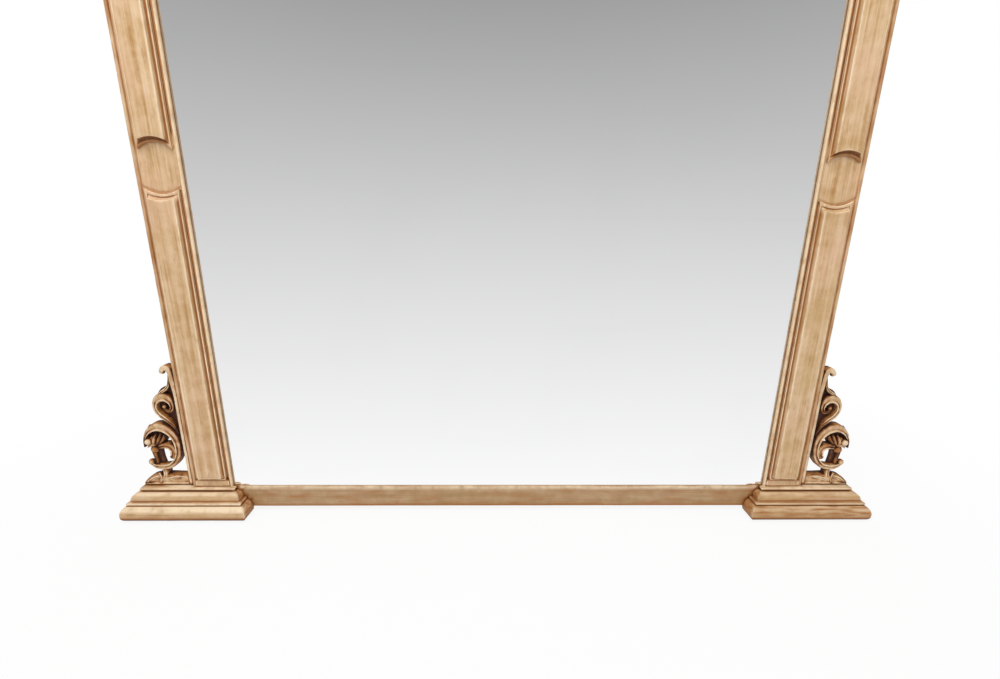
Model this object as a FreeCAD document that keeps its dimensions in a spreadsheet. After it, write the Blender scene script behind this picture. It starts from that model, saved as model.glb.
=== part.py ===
import FreeCAD, Part
import math
import os
from types import SimpleNamespace

import Sketcher

doc = FreeCAD.newDocument("overmantel_mirror")

# Driving dimensions in millimetres
SIZES = [
    ("sight_width", 1080, "clear width of mirror between the pilasters"),
    ("sight_height", 1181, "clear height of mirror between the rails"),
    ("stile_width", 79, "width of a pilaster"),
    ("frame_lip", 2, "wood in front of the glass at the rebate"),
    ("glass_thickness", 4, "silvered plate"),
    ("glass_rebate", 12, "width of the rebate that holds the glass"),
    ("glass_clearance", 2, "room round the glass at the sides and top"),
    ("block_depth", 16, "space between glass and backboards"),
    ("block_length", 60, "length of a glass block"),
    ("block_width", 10, "width of a glass block"),
    ("backboard_thickness", 10, "pine board"),
    ("backboard_rebate", 20, "width of the rebate that holds the boards"),
    ("backboard_gap", 1, "joint between two boards"),
    ("rail_lift", 12, "underside of the bottom rail above the shelf"),
    ("rail_height", 49, "bottom rail"),
    ("rail_easing", 3, "bevel on the top edge of the bottom rail"),
    ("frieze_height", 110, "top rail"),
    ("tenon_inset", 4, "glass plane to the face of a tenon"),
    ("tenon_thickness", 12, "open tenon at each rail end"),
    ("tenon_length", 28, "tenon past the rebate wall"),
    ("bead_width", 6, "edge bead of a pilaster"),
    ("bead_rise", 4.5, "edge bead above the stile face"),
    ("groove_width", 5, "flat groove beside the bead"),
    ("ridge_width", 3, "flat ridge round a panel"),
    ("cove_width", 3.6, "hollow between ridge and field"),
    ("field_rise", 6.5, "panel field above its ridge"),
    ("band_height", 15, "plain band at foot and head of a pilaster"),
    ("roundel_gap", 75, "bare face between the two panels at mid width"),
    ("scoop_radius", 56, "scooped panel end"),
    ("scoop_band", 11, "ridge and hollow along the scooped end"),
    ("cap_overhang", 6, "plinth cap beyond the pilaster"),
    ("cap_thickness", 5, "plinth cap board"),
    ("wing_width", 103, "plinth beyond the pilaster, under the bracket"),
    ("base_height", 33, "round-nosed board at the plinth foot"),
    ("top_height", 26, "round-nosed board of the cornice"),
    ("torus_reach", 28, "nose beyond the cap edge"),
    ("fillet_reach", 18, "flat fillet beyond the cap edge"),
    ("fillet_height", 4, "flat fillet"),
    ("ovolo_drop", 4, "upright below the ovolo"),
    ("ovolo_radius", 12, "quarter round"),
    ("quirk_depth", 1.5, "sinking above the ovolo"),
    ("quirk_height", 2, "sinking above the ovolo"),
    ("capital_rise", 20, "top of sight to underside of capital"),
    ("neck_height", 4, "fillet under the capital"),
    ("neck_reach", 2, "fillet beyond the pilaster"),
    ("echinus_radius", 12, "quarter round of the capital"),
    ("abacus_step", 2, "abacus beyond the quarter round"),
    ("abacus_height", 10, "flat slab of the capital"),
    ("bracket_thickness", 18, "carved wood of a bracket"),
    ("bracket_setback", 0.5, "bracket behind the stile face"),
    ("spine_width", 13, "upright batten of the bracket"),
    ("spine_height", 236, "start of the curled tip above the plinth"),
    ("finial_hook", 18, "curled tip beyond the batten"),
    ("finial_tip", 7, "thickness of the curled tip at its end"),
    ("finial_crown", 18, "curled tip above the batten"),
    ("foot_length", 100, "leafy foot from the pilaster"),
    ("foot_slope", 16, "sloping end of the foot"),
    ("foot_height", 23, "leafy foot"),
    ("stem_width", 18, "stem that carries the lower scroll"),
    ("stem_height", 7, "stem above the foot"),
    ("lower_radius", 37, "lower scroll, outside"),
    ("lower_band", 11, "lower scroll"),
    ("lower_straight", 34, "upright stretch of the lower scroll"),
    ("lower_tip", 18, "depth of the scroll tip below its centre"),
    ("curl_radius", 15, "inner curl, outside"),
    ("curl_band", 7, "inner curl"),
    ("curl_straight", 16, "upright stretch of the inner curl"),
    ("curl_tip", 7, "depth of the curl tip below its centre"),
    ("upper_radius", 22, "upper scroll, outside"),
    ("upper_band", 7, "upper scroll"),
    ("upper_straight", 14, "upright stretch of the upper scroll"),
    ("upper_tip", 10, "depth of the scroll tip below its centre"),
    ("hanger_height", 980, "ring axis above the shelf"),
    ("strap_width", 14, "strap of a hanger"),
    ("strap_length", 50, "strap below the ring axis"),
    ("strap_thickness", 1.5, "strap"),
    ("strap_margin", 7, "lower strap screw to the strap end"),
    ("strap_screw_pitch", 13, "between the two strap screws"),
    ("ring_wire", 1.5, "wire radius of the D-ring"),
    ("ring_clearance", 0.05, "running fit of the ring in the strap eye"),
    ("ring_standoff", 3.6, "ring axis behind the frame"),
    ("ring_bar", 16, "straight bar of the ring"),
    ("ring_corner", 3, "corner of the ring"),
    ("ring_side", 8, "straight side of the ring"),
    ("screw_radius", 1.75, "shank"),
    ("screw_clearance", 0.1, "shank in its hole"),
    ("screw_head_radius", 3.5, "pan head"),
    ("screw_head_height", 2, "pan head"),
    ("board_screw_length", 25, "backboard screw under its head"),
    ("strap_screw_length", 20, "strap screw under its head"),
]
BOARD_COUNT = 4
BLOCKS_PER_EDGE = 4
CUT_MARGIN = 2

sheet = doc.addObject("Spreadsheet::Sheet", "Sizes")
for row, (name, value, note) in enumerate(SIZES, start=1):
    sheet.set(f"A{row}", note)
    sheet.set(f"B{row}", str(value))
    sheet.setAlias(f"B{row}", name)
doc.recompute()


class Size:
    """A length with its value now and the sheet formula that gives it."""

    def __init__(self, value, text):
        self.value = value
        self.text = text

    def __add__(self, other):
        other = as_size(other)
        return Size(self.value + other.value, f"({self.text} + {other.text})")

    def __sub__(self, other):
        other = as_size(other)
        return Size(self.value - other.value, f"({self.text} - {other.text})")

    def __mul__(self, factor):
        factor = as_size(factor)
        return Size(self.value * factor.value, f"({self.text} * {factor.text})")

    def __truediv__(self, factor):
        factor = as_size(factor)
        return Size(self.value / factor.value, f"({self.text} / {factor.text})")

    def __neg__(self):
        return Size(-self.value, f"(-1 * {self.text})")

    def root(self):
        return Size(math.sqrt(self.value), f"sqrt({self.text})")


def as_size(number):
    """A plain number becomes a constant length."""
    if isinstance(number, Size):
        return number
    return Size(float(number), f"({number})")


mm = SimpleNamespace(**{name: Size(float(sheet.get(name)), f"Sizes.{name}") for name, _, _ in SIZES})
pieces = []


def new_body(name):
    body = doc.addObject("PartDesign::Body", name)
    body.Label = name
    pieces.append(body)
    return body


def place(thing, across=0, depth=0, up=0):
    """Put a piece where three lengths say, and keep it there when they change."""
    lengths = [as_size(across), as_size(depth), as_size(up)]
    spot = FreeCAD.Vector(*[length.value for length in lengths])
    thing.Placement = FreeCAD.Placement(spot, thing.Placement.Rotation)
    for axis, length in zip("xyz", lengths):
        thing.setExpression(f"Placement.Base.{axis}", length.text)


def new_sketch(body, role, offset=0):
    """Empty sketch on the body's own plane, or the given distance along its normal."""
    sketch = body.newObject("Sketcher::SketchObject", f"{body.Name}_sketch")
    planes = [feature for feature in body.Origin.OriginFeatures if feature.Role == role]
    sketch.AttachmentSupport = [(planes[0], "")]
    sketch.MapMode = "FlatFace"
    offset = as_size(offset)
    sketch.AttachmentOffset = FreeCAD.Placement(FreeCAD.Vector(0, 0, offset.value), FreeCAD.Rotation())
    sketch.setExpression("AttachmentOffset.Base.z", offset.text)
    return sketch


def bind(sketch, kind, elements, length, name):
    """Dimension in a sketch that follows the sheet."""
    index = sketch.addConstraint(Sketcher.Constraint(kind, *elements, length.value))
    sketch.renameConstraint(index, name)
    sketch.setExpression(f"Constraints.{name}", length.text)


def arc_between(start, end, bend):
    """Short arc of radius bend, which is positive for a turn to the left."""
    chord = end - start
    left = FreeCAD.Vector(-chord.y, chord.x).normalize()
    rise = math.sqrt(max(bend * bend - chord.Length * chord.Length / 4, 0))
    centre = (start + end) / 2 + left * math.copysign(rise, bend)
    first, last = (start, end) if bend > 0 else (end, start)
    opening = math.atan2(first.y - centre.y, first.x - centre.x)
    closing = math.atan2(last.y - centre.y, last.x - centre.x)
    if closing < opening:
        closing += 2 * math.pi
    return Part.ArcOfCircle(Part.Circle(centre, FreeCAD.Vector(0, 0, 1), abs(bend)), opening, closing)


def outline_sketch(body, role, outline, across=1, up=1, offset=0):
    """Closed outline of corners (across, up), or (across, up, radius) where an arc arrives.

    A positive radius turns left. The signs across and up mirror the whole outline.
    """
    sketch = new_sketch(body, role, offset)
    turn = across * up
    corners = []
    for corner in outline:
        bend = as_size(corner[2]) * turn if len(corner) == 3 else None
        corners.append((as_size(corner[0]) * across, as_size(corner[1]) * up, bend))
    ends = []
    for index, (wide, high, bend) in enumerate(corners):
        start = FreeCAD.Vector(corners[index - 1][0].value, corners[index - 1][1].value)
        end = FreeCAD.Vector(wide.value, high.value)
        if bend is None:
            sketch.addGeometry(Part.LineSegment(start, end), False)
        else:
            sketch.addGeometry(arc_between(start, end, bend.value), False)
        turns_right = bend is not None and bend.value < 0
        ends.append((2, 1) if turns_right else (1, 2))
    for index, (wide, high, bend) in enumerate(corners):
        after = (index + 1) % len(corners)
        joint = (index, ends[index][1], after, ends[after][0])
        sketch.addConstraint(Sketcher.Constraint("Coincident", *joint))
        bind(sketch, "DistanceX", (-1, 1, index, ends[index][1]), wide, f"across_{index}")
        bind(sketch, "DistanceY", (-1, 1, index, ends[index][1]), high, f"up_{index}")
        if bend is not None:
            bind(sketch, "Radius", (index,), bend * math.copysign(1, bend.value), f"radius_{index}")
    return sketch


def circle_sketch(body, role, centres, radius, offset=0):
    """Equal circles, each at (across, up)."""
    sketch = new_sketch(body, role, offset)
    upright = FreeCAD.Vector(0, 0, 1)
    for index, centre in enumerate(centres):
        wide = as_size(centre[0])
        high = as_size(centre[1])
        sketch.addGeometry(Part.Circle(FreeCAD.Vector(wide.value, high.value), upright, radius.value), False)
        bind(sketch, "DistanceX", (-1, 1, index, 3), wide, f"across_{index}")
        bind(sketch, "DistanceY", (-1, 1, index, 3), high, f"up_{index}")
        bind(sketch, "Radius", (index,), radius, f"radius_{index}")
    return sketch


def pad(body, sketch, length, both_ways=False):
    feature = body.newObject("PartDesign::Pad", f"{body.Name}_pad")
    feature.Profile = sketch
    feature.SideType = "Symmetric" if both_ways else "One side"
    feature.Length = length.value
    feature.setExpression("Length", length.text)
    return feature


def cut(body, sketch, depth=None, reverse=False):
    """Cut right through, or to a depth, and make sure that something was cut."""
    doc.recompute()
    before = body.Shape.Volume
    feature = body.newObject("PartDesign::Pocket", f"{body.Name}_cut")
    feature.Profile = sketch
    if depth is None:
        feature.Type = "ThroughAll"
        feature.SideType = "Symmetric"
    else:
        feature.Reversed = reverse
        feature.Length = depth.value
        feature.setExpression("Length", depth.text)
    doc.recompute()
    if body.Shape.Volume >= before:
        raise RuntimeError(f"nothing was cut from {body.Name}")


def rectangle(left, low, right, high):
    return [(left, low), (right, low), (right, high), (left, high)]


# Levels that several pieces share
half_sight = mm.sight_width / 2
stile_outside = half_sight + mm.stile_width
pilaster_middle = half_sight + mm.stile_width / 2
face = -mm.frame_lip
bead_face = face - mm.bead_rise
shoulder = mm.glass_thickness + mm.block_depth
back = shoulder + mm.backboard_thickness
sight_foot = mm.rail_lift + mm.rail_height
sight_top = sight_foot + mm.sight_height
frame_top = sight_top + mm.frieze_height
strip_height = mm.fillet_height + mm.ovolo_drop + mm.ovolo_radius + mm.quirk_height
plinth_top = mm.base_height + strip_height + mm.cap_thickness
pilaster_top = sight_top + mm.capital_rise
roundel_height = (plinth_top + pilaster_top) / 2
tenon_back = mm.tenon_inset + mm.tenon_thickness
hole_radius = mm.screw_radius + mm.screw_clearance
glass_wall = half_sight + mm.glass_rebate
board_wall = half_sight + mm.backboard_rebate
tenon_end = glass_wall + mm.tenon_length
hanger_across = (board_wall + stile_outside) / 2
SIDES = {"left": -1, "right": 1}


def strap_screw_heights():
    """Heights of the two strap screws below the ring axis."""
    lower = mm.strap_margin - mm.strap_length
    return [lower, lower + mm.strap_screw_pitch]


def board_screw_places(board_width):
    """Two screws across a board, a quarter of its width from each edge."""
    return [-board_width / 4, board_width / 4]


board_width = (board_wall * 2 - mm.backboard_gap * (BOARD_COUNT - 1)) / BOARD_COUNT
board_pitch = board_width + mm.backboard_gap
board_foot = sight_foot - mm.backboard_rebate
board_head = sight_top + mm.backboard_rebate
foot_screw_height = sight_foot - (mm.glass_rebate + mm.backboard_rebate) / 2
head_screw_height = sight_top + (mm.glass_rebate + mm.backboard_rebate) / 2
board_centres = []
for index in range(BOARD_COUNT):
    board_centres.append(board_pitch * (index - (BOARD_COUNT - 1) / 2))
board_screws_across = []
for centre in board_centres:
    for place_on_board in board_screw_places(board_width):
        board_screws_across.append(centre + place_on_board)


# Stiles: rebated uprights with a mortise for each rail
def stile(side_name, side):
    body = new_body(f"stile_{side_name}")
    section = [
        (half_sight, face),
        (stile_outside, face),
        (stile_outside, back),
        (board_wall, back),
        (board_wall, shoulder),
        (glass_wall, shoulder),
        (glass_wall, 0),
        (half_sight, 0),
    ]
    pad(body, outline_sketch(body, "XY_Plane", section, side), frame_top)
    mortise = rectangle(glass_wall - CUT_MARGIN, mm.tenon_inset, tenon_end, tenon_back)
    low_depth = mm.rail_height - mm.glass_rebate
    cut(body, outline_sketch(body, "XY_Plane", mortise, side, offset=mm.rail_lift), low_depth, reverse=True)
    high_depth = mm.frieze_height - mm.glass_rebate
    cut(body, outline_sketch(body, "XY_Plane", mortise, side, offset=frame_top), high_depth)
    holes = [(hanger_across * side, mm.hanger_height + height) for height in strap_screw_heights()]
    pilot_depth = mm.strap_screw_length - mm.strap_thickness
    cut(body, circle_sketch(body, "XZ_Plane", holes, hole_radius, -back), pilot_depth, reverse=True)


# Rails: tenoned between the stiles and rebated for the glass and the backboards
def rail(name, height, base, rebates, screw_height):
    body = new_body(name)
    right = [
        (half_sight, face),
        (half_sight, 0),
        (glass_wall, 0),
        (glass_wall, mm.tenon_inset),
        (tenon_end, mm.tenon_inset),
        (tenon_end, tenon_back),
        (glass_wall, tenon_back),
        (glass_wall, shoulder),
        (board_wall, shoulder),
        (board_wall, back),
    ]
    left = [(-across, depth) for across, depth in reversed(right)]
    pad(body, outline_sketch(body, "XY_Plane", right + left), height)
    cut(body, outline_sketch(body, "YZ_Plane", rebates))
    holes = [(across, screw_height - base) for across in board_screws_across]
    pilot_depth = mm.board_screw_length - mm.backboard_thickness
    cut(body, circle_sketch(body, "XZ_Plane", holes, hole_radius, -shoulder), pilot_depth, reverse=True)
    place(body, up=base)
    return body


def rails():
    glass_seat = mm.rail_height - mm.glass_rebate
    board_seat = mm.rail_height - mm.backboard_rebate
    low_rebates = [
        (0, glass_seat),
        (shoulder, glass_seat),
        (shoulder, board_seat),
        (back + CUT_MARGIN, board_seat),
        (back + CUT_MARGIN, mm.rail_height + CUT_MARGIN),
        (0, mm.rail_height + CUT_MARGIN),
    ]
    bottom = rail("rail_bottom", mm.rail_height, mm.rail_lift, low_rebates, foot_screw_height)
    easing = [
        (face, mm.rail_height - mm.rail_easing),
        (face + mm.rail_easing, mm.rail_height),
        (face, mm.rail_height),
    ]
    cut(bottom, outline_sketch(bottom, "YZ_Plane", easing))
    high_rebates = [
        (0, -CUT_MARGIN),
        (back + CUT_MARGIN, -CUT_MARGIN),
        (back + CUT_MARGIN, mm.backboard_rebate),
        (shoulder, mm.backboard_rebate),
        (shoulder, mm.glass_rebate),
        (0, mm.glass_rebate),
    ]
    rail("rail_top", mm.frieze_height, sight_top, high_rebates, head_screw_height)


# Mirror plate: stands on the rebate of the bottom rail
def mirror_plate():
    body = new_body("mirror_plate")
    edge = glass_wall - mm.glass_clearance
    low = sight_foot - mm.glass_rebate
    high = sight_top + mm.glass_rebate - mm.glass_clearance
    pad(body, outline_sketch(body, "XZ_Plane", rectangle(-edge, low, edge, high)), mm.glass_thickness)
    place(body, depth=mm.glass_thickness)


# Blocks between glass and backboards, spaced along each stile
def glass_blocks():
    blocks = []
    spacing = mm.sight_height / BLOCKS_PER_EDGE
    for side in SIDES.values():
        across = (glass_wall - mm.block_width / 2) * side - mm.block_width / 2
        for index in range(BLOCKS_PER_EDGE):
            block = doc.addObject("Part::Box", "glass_block")
            block.setExpression("Length", mm.block_width.text)
            block.setExpression("Width", mm.block_depth.text)
            block.setExpression("Height", mm.block_length.text)
            height = sight_foot + spacing * (index + 0.5) - mm.block_length / 2
            place(block, across, mm.glass_thickness, height)
            blocks.append(block)
    group("glass_blocks", blocks)


def group(name, members):
    """One node of like pieces that stay separate solids."""
    compound = doc.addObject("Part::Compound", name)
    compound.Label = name
    compound.Links = members
    pieces.append(compound)


# Backboards: upright boards let into the back of the frame
def backboards():
    for index, centre in enumerate(board_centres):
        body = new_body(f"backboard_{index + 1}")
        plan = rectangle(-board_width / 2, board_foot, board_width / 2, board_head)
        pad(body, outline_sketch(body, "XZ_Plane", plan), mm.backboard_thickness)
        holes = []
        for across in board_screw_places(board_width):
            holes.append((across, foot_screw_height))
            holes.append((across, head_screw_height))
        cut(body, circle_sketch(body, "XZ_Plane", holes, hole_radius))
        place(body, centre, back)


def screw(across, seat, height, length):
    """Pan-head screw driven forward from its seat."""
    forward = FreeCAD.Rotation(FreeCAD.Vector(1, 0, 0), 90)
    head = doc.addObject("Part::Cylinder", "screw_head")
    head.setExpression("Radius", mm.screw_head_radius.text)
    head.setExpression("Height", mm.screw_head_height.text)
    head.Placement = FreeCAD.Placement(FreeCAD.Vector(), forward)
    place(head, across, seat + mm.screw_head_height, height)
    shank = doc.addObject("Part::Cylinder", "screw_shank")
    shank.setExpression("Radius", mm.screw_radius.text)
    shank.setExpression("Height", length.text)
    shank.Placement = FreeCAD.Placement(FreeCAD.Vector(), forward)
    place(shank, across, seat, height)
    whole = doc.addObject("Part::Fuse", "screw")
    whole.Base = head
    whole.Tool = shank
    return whole


def backboard_screws():
    screws = []
    for across in board_screws_across:
        for height in (foot_screw_height, head_screw_height):
            screws.append(screw(across, back, height, mm.board_screw_length))
    group("backboard_screws", screws)


# Pilaster: two edge beads, plain bands at foot and head, and two raised panels with scooped ends
def bead(name, across):
    body = new_body(name)
    half = mm.bead_width / 2
    spring = half - mm.bead_rise
    section = [(-half, 0), (-half, spring), (0, -mm.bead_rise, half), (half, spring, half), (half, 0)]
    pad(body, outline_sketch(body, "XY_Plane", section), pilaster_top - plinth_top)
    place(body, across, face, plinth_top)


def band(name, side, base):
    body = new_body(name)
    half = mm.stile_width / 2 - mm.bead_width
    pad(body, outline_sketch(body, "XZ_Plane", rectangle(-half, 0, half, mm.band_height)), mm.bead_rise)
    place(body, pilaster_middle * side, face, base)


def scooped_end(half, far, radius, centre):
    """Panel outline with a straight far end and an arc cut into the end beside the roundel."""
    horn = (radius * radius - half * half).root() + centre
    return [(-half, far), (half, far), (half, horn), (-half, horn, radius)]


def panel(name, side, up):
    body = new_body(name)
    ridge_half = mm.stile_width / 2 - mm.bead_width - mm.groove_width
    far = (pilaster_top - plinth_top) / 2 - mm.band_height
    centre = mm.roundel_gap / 2 - mm.scoop_radius
    ridge = scooped_end(ridge_half, far, mm.scoop_radius, centre)
    pad(body, outline_sketch(body, "XZ_Plane", ridge, up=up), mm.bead_rise)
    foot_radius = mm.scoop_radius + mm.scoop_band - mm.cove_width
    foot = scooped_end(ridge_half - mm.ridge_width, far - mm.ridge_width, foot_radius, centre)
    field_inset = mm.ridge_width + mm.cove_width
    field_radius = mm.scoop_radius + mm.scoop_band
    field = scooped_end(ridge_half - field_inset, far - field_inset, field_radius, centre)
    slope = body.newObject("PartDesign::AdditiveLoft", f"{name}_slope")
    slope.Profile = outline_sketch(body, "XZ_Plane", foot, up=up, offset=mm.bead_rise)
    slope.Sections = [outline_sketch(body, "XZ_Plane", field, up=up, offset=mm.bead_rise + mm.field_rise)]
    slope.Ruled = True
    place(body, pilaster_middle * side, face, roundel_height)


def pilaster(side_name, side):
    half = mm.bead_width / 2
    bead(f"bead_inner_{side_name}", (half_sight + half) * side)
    bead(f"bead_outer_{side_name}", (stile_outside - half) * side)
    band(f"pilaster_foot_{side_name}", side, plinth_top)
    band(f"pilaster_head_{side_name}", side, pilaster_top - mm.band_height)
    panel(f"panel_lower_{side_name}", side, -1)
    panel(f"panel_upper_{side_name}", side, 1)


# Mouldings: a profile runs upwards as (reach, height), and its block turns the corners square
def nosed_profile(height):
    half = height / 2
    flat = mm.torus_reach - half
    return [(flat, 0), (mm.torus_reach, half, half), (flat, height, half)]


def capital_profile():
    base = mm.neck_height
    reach = mm.neck_reach + mm.echinus_radius
    slab = reach + mm.abacus_step
    spring = base + mm.echinus_radius
    return [
        (mm.neck_reach, 0),
        (mm.neck_reach, base),
        (reach, spring, mm.echinus_radius),
        (slab, spring),
        (slab, spring + mm.abacus_height),
    ]


def moulded_block(name, profile, reach, inside, outside, front, base, side=1, notch=None):
    """Block with the profile on its front and both ends, clear of the frame where notched."""
    body = new_body(name)
    height = as_size(profile[-1][1])
    half = (outside - inside) / 2
    section = profile + [(front - back, height), (front - back, 0)]
    length = (half + reach) * 2
    pad(body, outline_sketch(body, "YZ_Plane", section, across=-1), length, both_ways=True)
    waste = [(half + corner[0], *corner[1:]) for corner in profile]
    waste += [(half + reach + CUT_MARGIN, height), (half + reach + CUT_MARGIN, 0)]
    for end in (-1, 1):
        cut(body, outline_sketch(body, "XZ_Plane", waste, end))
    middle = (inside + outside) / 2
    if notch is not None:
        near = -half - reach - CUT_MARGIN
        room = rectangle(near, face - front, notch - middle, back - front + CUT_MARGIN)
        cut(body, outline_sketch(body, "XY_Plane", room, side))
    place(body, middle * side, front, base)


def strip_profile():
    """Fillet, upright, quarter round and sinking, with the back of the strip closing it."""
    spring = mm.fillet_height + mm.ovolo_drop
    crown = spring + mm.ovolo_radius
    return [
        (-strip_back, 0),
        (mm.fillet_reach, 0),
        (mm.fillet_reach, mm.fillet_height),
        (mm.ovolo_radius, mm.fillet_height),
        (mm.ovolo_radius, spring),
        (0, crown, mm.ovolo_radius),
        (-mm.quirk_depth, crown),
        (-mm.quirk_depth, strip_height),
        (-strip_back, strip_height),
    ]


cap_front = bead_face - mm.cap_overhang
cap_inside = half_sight - mm.cap_overhang
cap_outside = stile_outside + mm.wing_width
strip_back = face - cap_front


def front_strip(name, inside, outside, front, base, side=1, up=1):
    """Moulding along the front, mitred at both ends."""
    body = new_body(name)
    half = (outside - inside) / 2
    reach = mm.fillet_reach
    sketch = outline_sketch(body, "YZ_Plane", strip_profile(), across=-1, up=up)
    pad(body, sketch, (half + reach) * 2, both_ways=True)
    mitre = [
        (half + reach + CUT_MARGIN, -reach - CUT_MARGIN),
        (half + reach + CUT_MARGIN, strip_back + CUT_MARGIN),
        (half - strip_back - CUT_MARGIN, strip_back + CUT_MARGIN),
    ]
    for end in (-1, 1):
        cut(body, outline_sketch(body, "XY_Plane", mitre, end))
    place(body, (inside + outside) / 2 * side, front, base)


def return_strip(name, corner, front, rear, base, outward, up=1):
    """Moulding that turns the corner and runs back from its mitre to the rear."""
    body = new_body(name)
    reach = mm.fillet_reach
    sketch = outline_sketch(body, "XZ_Plane", strip_profile(), across=outward, up=up, offset=front - rear)
    pad(body, sketch, rear - front + reach)
    mitre = [
        (reach + CUT_MARGIN, -reach - CUT_MARGIN),
        (-strip_back - CUT_MARGIN, strip_back + CUT_MARGIN),
        (-strip_back - CUT_MARGIN, -reach - CUT_MARGIN),
    ]
    cut(body, outline_sketch(body, "XY_Plane", mitre, outward))
    place(body, corner, front, base)


# Plinth: round-nosed base board, core block, mitred ovolo and cap board
def plinth(side_name, side):
    nose = nosed_profile(mm.base_height)
    base_name = f"plinth_base_{side_name}"
    moulded_block(base_name, nose, mm.torus_reach, cap_inside, cap_outside, cap_front, 0, side, stile_outside)
    core = new_body(f"plinth_core_{side_name}")
    plan = rectangle(stile_outside, face, cap_outside - strip_back, back)
    pad(core, outline_sketch(core, "XY_Plane", plan, side), strip_height)
    place(core, up=mm.base_height)
    front_strip(f"plinth_ovolo_front_{side_name}", cap_inside, cap_outside, cap_front, mm.base_height, side)
    outer = f"plinth_ovolo_outer_{side_name}"
    return_strip(outer, cap_outside * side, cap_front, back, mm.base_height, side)
    inner = f"plinth_ovolo_inner_{side_name}"
    return_strip(inner, cap_inside * side, cap_front, face, mm.base_height, -side)
    cap = new_body(f"plinth_cap_{side_name}")
    board = [
        (cap_inside, cap_front),
        (cap_outside, cap_front),
        (cap_outside, back),
        (stile_outside, back),
        (stile_outside, face),
        (cap_inside, face),
    ]
    pad(cap, outline_sketch(cap, "XY_Plane", board, side), mm.cap_thickness)
    place(cap, up=mm.base_height + strip_height)


# Capital and frieze block above each pilaster
def capital(side_name, side):
    profile = capital_profile()
    reach = profile[-1][0]
    name = f"capital_{side_name}"
    moulded_block(name, profile, reach, half_sight, stile_outside, bead_face, pilaster_top, side, stile_outside)
    block = new_body(f"frieze_block_{side_name}")
    base = pilaster_top + profile[-1][1]
    half = mm.stile_width / 2
    pad(block, outline_sketch(block, "XZ_Plane", rectangle(-half, 0, half, frame_top - base)), mm.bead_rise)
    place(block, pilaster_middle * side, face, base)


# Cornice: core board, mitred ovolo upside down, round-nosed top board
def cornice():
    core = new_body("cornice_core")
    half = stile_outside - strip_back
    plan = rectangle(-half, bead_face + strip_back, half, back)
    pad(core, outline_sketch(core, "XY_Plane", plan), strip_height)
    place(core, up=frame_top)
    top = frame_top + strip_height
    front_strip("cornice_ovolo_front", -stile_outside, stile_outside, bead_face, top, up=-1)
    for side_name, side in SIDES.items():
        return_strip(f"cornice_ovolo_{side_name}", stile_outside * side, bead_face, back, top, side, up=-1)
    nose = nosed_profile(mm.top_height)
    moulded_block("cornice_top", nose, mm.torus_reach, -stile_outside, stile_outside, bead_face, top)


# Side bracket: spine with curled finial, two C-scrolls, inner curl and leafy foot
bracket_back = face + mm.bracket_setback + mm.bracket_thickness
scroll_foot = mm.foot_height + mm.stem_height
scroll_top = scroll_foot + mm.lower_radius * 2 + mm.lower_straight


def bracket_piece(name, side, outline):
    body = new_body(name)
    pad(body, outline_sketch(body, "XZ_Plane", outline, side), mm.bracket_thickness)
    place(body, stile_outside * side, bracket_back, plinth_top)


def c_scroll(middle, foot, radius, band_width, straight, tip, end, outward=1):
    """C-shaped band: a round head, a straight back and a round foot that ends in a tip.

    The band starts at the height end on its open side, which is away from the pilaster when outward is 1.
    """
    inner = radius - band_width
    low = foot + radius
    high = low + straight
    tip_outer = (radius * radius - tip * tip).root()
    tip_inner = (inner * inner - tip * tip).root()
    band_line = [
        (radius, end),
        (radius, high),
        (0, high + radius, radius),
        (-radius, high, radius),
        (-radius, low),
        (0, low - radius, radius),
        (tip_outer, low - tip, radius),
        (tip_inner, low - tip),
        (0, low - inner, -inner),
        (-inner, low, -inner),
        (-inner, high),
        (0, high + inner, -inner),
        (inner, high, -inner),
        (inner, end),
    ]
    outline = []
    for across, *rest in band_line:
        if len(rest) == 2:
            rest[1] = as_size(rest[1]) * outward
        outline.append((middle + as_size(across) * outward, *rest))
    return outline


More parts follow.
